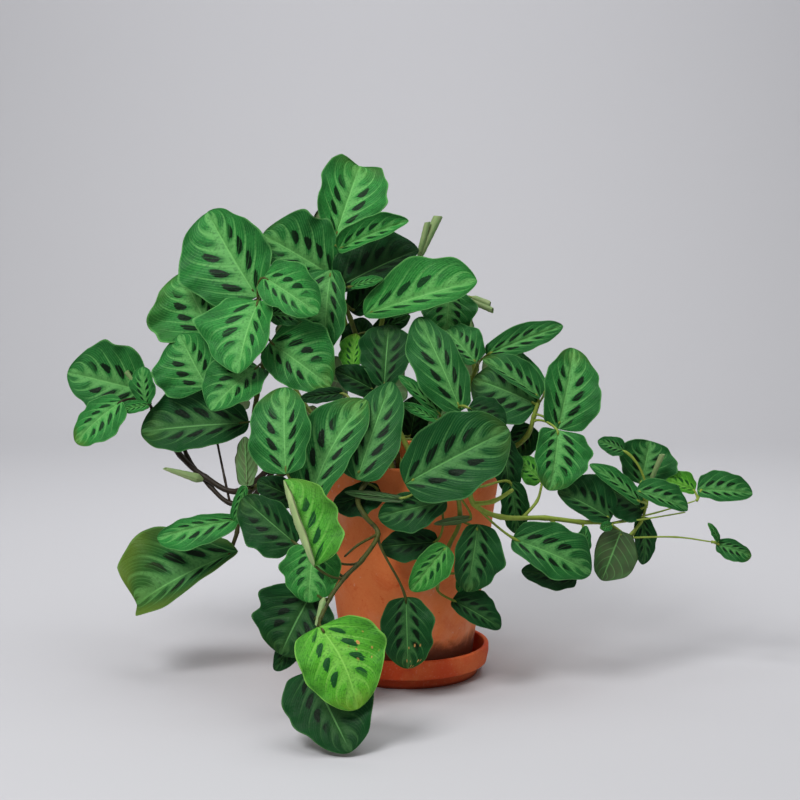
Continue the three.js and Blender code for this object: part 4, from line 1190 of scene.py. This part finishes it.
class BladeSurface(LeafSurface):
    """An open blade, which faces the eye of the photograph and leans a little outward and up."""

    relief = 1.0

    def __init__(self, row, number):
        super().__init__(row)
        self.number = number
        self.arch = row.arch
        self.sweep = row.sweep
        self.notch = row.notch
        self.swell = math.log(0.5) / math.log(row.widest_at)
        self.halves = {1: row.right_width * MM, -1: row.left_width * MM}
        self.curls = {1: math.radians(row.right_curl), -1: math.radians(row.left_curl)}
        self.width = (row.right_width + row.left_width) * MM
        middle = (self.base + self.tip) / 2
        seen = (EYE - middle).normalized() * (-1 if row.underside_shows else 1)
        outward = Vector((middle.x, middle.y, 0))
        outward /= max(outward.length, OUTWARD_REACH)
        free = 1 if outward.dot(seen) > -OUTWARD_REVERSED else 0
        face = seen + (outward * OUTWARD + UP * SKYWARD) * free
        self.face = (face - self.axis * face.dot(self.axis)).normalized()
        seen = (seen - self.axis * seen.dot(self.axis)).normalized()
        self.widening = 1 / self.face.dot(seen)
        self.side = self.axis.cross(self.face)

    def place(self, along, across):
        half_turn = 1 if across > 0 else -1
        sense = (across > 0) - (across < 0)
        edge = abs(across)

        # The half's width, which is a little uneven in every leaf's own way, and its curl
        fullness = max(math.sin(math.pi * along ** self.swell), 0) ** BLUNTNESS
        half = self.halves[half_turn] * fullness * self.widening
        own_way = half_turn * UNEVEN_BY_HALF + self.length * UNEVEN_BY_LENGTH
        uneven = noise.noise(Vector((along * UNEVEN_ALONG, self.number * UNEVEN_BY_NUMBER, own_way)))
        half *= 1 + UNEVEN_MARGIN * uneven * edge ** 3
        curl = self.curls[half_turn]
        start = curl * CURL_START
        end = start + curl * CURL_GAIN * edge
        out = (math.sin(end) - math.sin(start)) / (curl * CURL_GAIN)
        lift = (math.cos(start) - math.cos(end)) / (curl * CURL_GAIN)

        # The waves and the finer frill of its margin
        ripple = math.sin(math.tau * WAVES * along + WAVE_SHIFT * (self.number + sense))
        wave = WAVE_HEIGHT * ripple * edge ** 2
        ripple = math.sin(math.tau * FRILLS * along + self.number * FRILL_SHIFT + half_turn)
        frill = FRILL_HEIGHT * ripple * edge ** 3

        # The lobes beside its stalk and its notch, the point of its tip and its bow
        base_lobe = BASE_LOBE * (1 - along) ** 3 * min(along / LOBE_START, 1)
        tip_lobe = self.notch * along ** 3 * min((1 - along) / LOBE_START, 1)
        lobe = self.length * edge ** 2 * (base_lobe - tip_lobe)
        pointed = max((along - POINT_START) / POINT_SPAN, 0) ** 2
        point = (POINT_LENGTH - self.notch * POINT_LOST_IN_NOTCH) * self.length * pointed
        bow = 4 * self.length * along * (1 - along)
        return (
            self.base
            + self.axis * (self.length * along - lobe + point)
            + self.side * (half * out * sense + self.sweep * bow)
            + self.face * (half * (lift + 2 * wave + 2 * frill) + self.arch * bow)
        )

    def kept_in_box(self, skin):
        """Shrinks the blade until it and its skin lie within the box of the plant's solids."""
        low, high = cad_box
        samples = [(along / 16, across / 4) for along in range(17) for across in range(-4, 5)]

        def outside(point):
            return any(point[i] - skin < low[i] or point[i] + skin > high[i] for i in range(3))

        while any(outside(self.place(*sample)) for sample in samples):
            self.length *= SHRINK
            self.halves = {half: width * SHRINK for half, width in self.halves.items()}
        return self


class RolledSurface(LeafSurface):
    """A young leaf still rolled round itself: across it is round the roll."""

    relief = 0.2

    def __init__(self, row):
        super().__init__(row)
        self.start = row.base_radius
        self.end = row.tip_radius
        self.side = self.axis.orthogonal().normalized()
        self.face = self.side.cross(self.axis)
        self.width = 4 * max(self.start, self.end) * MM

    def place(self, along, across):
        turn = math.tau * ROLL_TURNS * across
        radius = self.start + (self.end - self.start) * along
        tightening = 1 - ROLL_TIGHTENING * (across + 1) / 2
        radius *= MM * tightening * min(ROLL_BASE_SHARE + along * ROLL_OPENING, 1)
        slant = along - ROLL_SLANT * abs(across) * along ** 4
        return (
            self.base
            + self.axis * self.length * slant
            + self.side * radius * math.sin(turn)
            + self.face * radius * math.cos(turn)
        )


def vein_height(along, across, side_veins, chance):
    """The quilting of a blade, which rises between its side veins, with a groove along the midrib."""
    out = abs(across)
    sense = (across > 0) - (across < 0)
    course = along - out * VEIN_SLANT - out ** 2 * VEIN_BEND
    phase = course * side_veins + sense * VEIN_STAGGER + chance * VEIN_CHANCE
    pillow = (1 + math.cos(math.tau * (phase - 0.5))) / 2
    fade = min(out / QUILTING_FADES, 1) * (1 - out ** 4)
    fade = fade * min(along / QUILTING_FADES_AT_BASE, 1) * min((1 - along) / QUILTING_FADES, 1)
    groove = bell(out, GROOVE_WIDTH) * min((1 - along) / GROOVE_FADES, 1)
    return pillow * fade - GROOVE_DEPTH * groove


def add_blade(body, layers, surface, leaf, traits, damage=None):
    """A blade drawn over a fine grid, quilted by its veins and given its thickness and underside.

    traits: its youth and light, set low as painted shade where it lies in shade, its chance and how far it
    has yellowed.
    damage: where a dry spot lies along it and across it, and how far it reaches.
    """
    rows, columns = LARGE_BLADE_ROWS if surface.width > LARGE_BLADE else SMALL_BLADE_ROWS
    grid = bmesh.ops.create_grid(body, x_segments=columns, y_segments=rows, size=1)["verts"]
    faces = list({face for vert in grid for face in vert.link_faces})
    uv, youth_and_light, chance, worn, aged = layers
    places = {}
    for vert in grid:
        across = math.copysign(abs(vert.co.x) ** CLOSER_AT_MIDRIB, vert.co.x)
        along = (1 - math.cos(math.pi * (vert.co.y + 1) / 2)) / 2
        places[vert] = (along, across)
        vert.co = surface.place(along, across)
        vert[youth_and_light], vert[chance], vert[aged] = traits
        if damage:
            away = math.hypot(along - damage[0], (across - damage[1]) / 2)
            vert[worn] = max(1 - away / damage[2], 0)
    for face in faces:
        face.smooth = True
        for loop in face.loops:
            along, across = places[loop.vert]
            loop[uv].uv = ((across + 1) / 2, along)

    # The grid's ends close to the base and the tip, and its quilting rises along its normals
    bmesh.ops.remove_doubles(body, verts=grid, dist=SAME_PLACE)
    under = [face for face in faces if face.is_valid]
    verts = list({vert for face in under for vert in face.verts})
    for item in under + verts:
        item.normal_update()
    ways = {vert: vert.normal.copy() for vert in verts}
    for vert, way in ways.items():
        quilting = vein_height(*places[vert], leaf.side_veins, traits[1])
        vert.co += way * surface.relief * leaf.vein_relief * quilting

    # The grid stays as the underside, and the top lies the blade's thickness above it
    grown = bmesh.ops.extrude_face_region(body, geom=under, use_keep_orig=True)["geom"]
    lifted = {tuple(vert.co): way for vert, way in ways.items()}
    for vert in only(bmesh.types.BMVert, grown):
        vert.co += lifted[tuple(vert.co)] * leaf.blade_thickness
    bmesh.ops.reverse_faces(body, faces=under)
    for face in under:
        face.material_index = UNDERSIDE
    top = set(only(bmesh.types.BMFace, grown))
    for edge in {edge for face in top for edge in face.edges}:
        edge.smooth = all(face in top for face in edge.link_faces)


# Dry spots on some leaves, by the number of the leaf: along it, across it and how far they reach
DAMAGE = {
    "shoot_crown_top": {2: (0.55, -0.2, 0.14)},
    "shoot_trailing": {0: (0.88, -0.35, 0.34), 6: (0.42, -0.6, 0.22)},
}

# How far some leaves have yellowed from their margins, by the number of the leaf
YELLOWED = {
    "shoot_low_left": {3: 0.5},
    "shoot_crown_left": {4: 0.25},
    "shoot_trailing": {2: 0.3},
}
ROLLED_YOUTH_AND_LIGHT = 0.6
ROLL_HELD_AT = 0.1


def shoot_body(name, leaf):
    """A shoot's stems, then its stalks, then its blades and its rolled leaves."""
    shoot = SHOOTS[name]
    body = bmesh.new()
    layers = [body.loops.layers.uv.new("blade")]
    layers += [body.verts.layers.float.new(layer) for layer in ("youth_and_light", "chance", "worn", "aged")]
    bark = body.verts.layers.float.new("bark")
    courses = stem_courses(shoot)
    for course, (share, _) in zip(courses, shoot["stems"]):
        add_stem(body, course, share, rooted=course is courses[0])
    rows = [Leaf(*row) for row in shoot["leaves"]]
    skin = leaf.blade_thickness + leaf.vein_relief
    blades = [BladeSurface(row, number).kept_in_box(skin) for number, row in enumerate(rows)]
    for row, blade in zip(rows, blades):
        end = blade.place(STALK_INTO_BLADE, 0)
        add_stalk(body, courses[row.stem], row.stem_position, end, blade.axis)
    rows = [RolledLeaf(*row) for row in shoot.get("rolled", [])]
    rolls = [RolledSurface(row) for row in rows]
    for row, roll in zip(rows, rolls):
        end = roll.base + roll.axis * roll.length * ROLL_HELD_AT
        add_stalk(body, courses[row.stem], row.stem_position, end, roll.axis)
    for face in body.faces:
        face.material_index = STEM
        face.smooth = True
    for vert in body.verts:
        vert[bark] = shoot["bark"]

    draw = random.Random(name)
    damages = DAMAGE.get(name, {})
    yellowed = YELLOWED.get(name, {})
    for number, blade in enumerate(blades):
        # youth_and_light: low values paint shade on leaves that lie in shade
        traits = (shoot["youth_and_light"][number], draw.random(), yellowed.get(number, 0))
        add_blade(body, layers, blade, leaf, traits, damages.get(number))
    for roll in rolls:
        others = set(body.faces)
        add_blade(body, layers, roll, leaf, (ROLLED_YOUTH_AND_LIGHT, draw.random(), 0))
        for face in set(body.faces) - others:
            face.material_index = UNDERSIDE
    return body


# Studio
STUDIO_HALF = 6
BACKDROP_BEHIND = 2.4
BACKDROP_HEIGHT = 4
BACKDROP_BEND = 0.9
BEND_STEPS = 16


def backdrop_body():
    """A floor that bends up into a wall behind the plant."""
    body = bmesh.new()
    bmesh.ops.create_grid(body, x_segments=1, y_segments=1, size=STUDIO_HALF)
    back = [edge for edge in body.edges if all(vert.co.y > 0 for vert in edge.verts)]
    raised = bmesh.ops.extrude_edge_only(body, edges=back)["geom"]
    bmesh.ops.translate(body, vec=(0, 0, BACKDROP_HEIGHT), verts=only(bmesh.types.BMVert, raised))
    bmesh.ops.translate(body, vec=(0, BACKDROP_BEHIND - STUDIO_HALF, 0), verts=body.verts)
    bmesh.ops.bevel(
        body, geom=back, offset=BACKDROP_BEND, segments=BEND_STEPS, profile=0.5, affect="EDGES", material=-1
    )
    for face in body.faces:
        face.smooth = True
    return body


def add_lamp(name, place, target, size, power):
    """A soft square lamp that shines from its place towards a target."""
    lamp = bpy.data.lights.new(name, "AREA")
    lamp.size = size
    lamp.energy = power
    holder = shown(name, lamp)
    holder.location = place
    aim = Vector(target) - Vector(place)
    holder.rotation_euler = aim.to_track_quat("-Z", "Y").to_euler()


# Operators
class PLANT_OT_saucer(bpy.types.Operator):
    """Turns the clay saucer"""

    bl_idname = "prayer_plant.saucer"
    bl_label = "Saucer"

    def execute(self, context):
        pottery = context.scene.prayer_plant.pottery
        finished("clay_saucer", saucer_body(pottery), [saucer_skin(pottery)], "saucer")
        return {"FINISHED"}


class PLANT_OT_pot(bpy.types.Operator):
    """Turns the terracotta pot"""

    bl_idname = "prayer_plant.pot"
    bl_label = "Pot"

    def execute(self, context):
        pottery = context.scene.prayer_plant.pottery
        finished("terracotta_pot", pot_body(pottery), [pot_skin(pottery)], "pot")
        return {"FINISHED"}


class PLANT_OT_soil(bpy.types.Operator):
    """Fills the pot with soil"""

    bl_idname = "prayer_plant.soil"
    bl_label = "Soil"

    def execute(self, context):
        plant = context.scene.prayer_plant
        body = soil_body(plant.soil, plant.pottery)
        finished("loose_soil", body, [soil_skin(plant.soil)], "soil")
        return {"FINISHED"}


class PLANT_OT_shoots(bpy.types.Operator):
    """Grows every leafy shoot"""

    bl_idname = "prayer_plant.shoots"
    bl_label = "Leafy shoots"

    def execute(self, context):
        leaf = context.scene.prayer_plant.leaf
        skins = [blade_top(leaf), blade_underside(leaf), stem_skin(leaf)]
        for name in SHOOTS:
            piece_name = "leafy_" + name
            finished(piece_name, shoot_body(name, leaf), skins, name)
        return {"FINISHED"}


class PLANT_OT_studio(bpy.types.Operator):
    """Sets the floor, the lamps and the camera"""

    bl_idname = "prayer_plant.studio"
    bl_label = "Studio"

    def execute(self, context):
        studio = context.scene.prayer_plant.studio
        scene = context.scene
        floor = placed("floor_and_backdrop", backdrop_body(), [studio_skin(studio)])
        add_lamp("key_lamp", (-0.9, -1.5, 1.9), (0, 0, 0.3), 0.8, studio.key_power)
        add_lamp("top_lamp", (0.3, -0.1, 2.1), (0, 0, 0.3), 1.8, studio.top_power)
        add_lamp("backdrop_lamp", (0, 0.9, 1.7), (0, 2.3, 0.6), 1.6, studio.backdrop_power)

        world = bpy.data.worlds.new("soft_surroundings")
        world.use_nodes = True
        background = world.node_tree.nodes["Background"]
        background.inputs["Color"].default_value = (1, 1, 1, 1)
        background.inputs["Strength"].default_value = studio.surrounding_light
        scene.world = world

        lens = bpy.data.cameras.new("photograph")
        lens.sensor_width = SENSOR
        lens.lens = FOCAL_PIXELS * SENSOR / FRAME_PIXELS
        scene.camera = shown("photograph", lens)
        scene.camera.location = EYE
        scene.camera.rotation_euler = (math.pi / 2 - PITCH, 0, 0)
        scene.view_settings.view_transform = "Standard"
        return {"FINISHED"}


class PLANT_PT_sidebar(bpy.types.Panel):
    """The steps that build the potted plant"""

    bl_idname = "PLANT_PT_sidebar"
    bl_label = "Potted prayer plant"
    bl_space_type = "VIEW_3D"
    bl_region_type = "UI"
    bl_category = "Prayer plant"

    def draw(self, context):
        plant = context.scene.prayer_plant
        for operator in OPERATORS:
            self.layout.operator(operator.bl_idname)
        for group in (plant.pottery, plant.soil, plant.leaf, plant.studio):
            box = self.layout.box()
            for name in group.__annotations__:
                box.prop(group, name)


OPERATORS = (PLANT_OT_saucer, PLANT_OT_pot, PLANT_OT_soil, PLANT_OT_shoots, PLANT_OT_studio)
PROPERTIES = (PotteryProperties, SoilProperties, LeafProperties, StudioProperties, PlantProperties)
CLASSES = (*PROPERTIES, *OPERATORS, PLANT_PT_sidebar)


def register():
    for each in CLASSES:
        bpy.utils.register_class(each)
    bpy.types.Scene.prayer_plant = PointerProperty(type=PlantProperties)


def unregister():
    del bpy.types.Scene.prayer_plant
    for each in reversed(CLASSES):
        bpy.utils.unregister_class(each)


def main():
    register()
    bpy.ops.prayer_plant.saucer()
    bpy.ops.prayer_plant.pot()
    bpy.ops.prayer_plant.soil()
    bpy.ops.prayer_plant.shoots()
    bpy.ops.prayer_plant.studio()


if __name__ == "__main__":
    main()
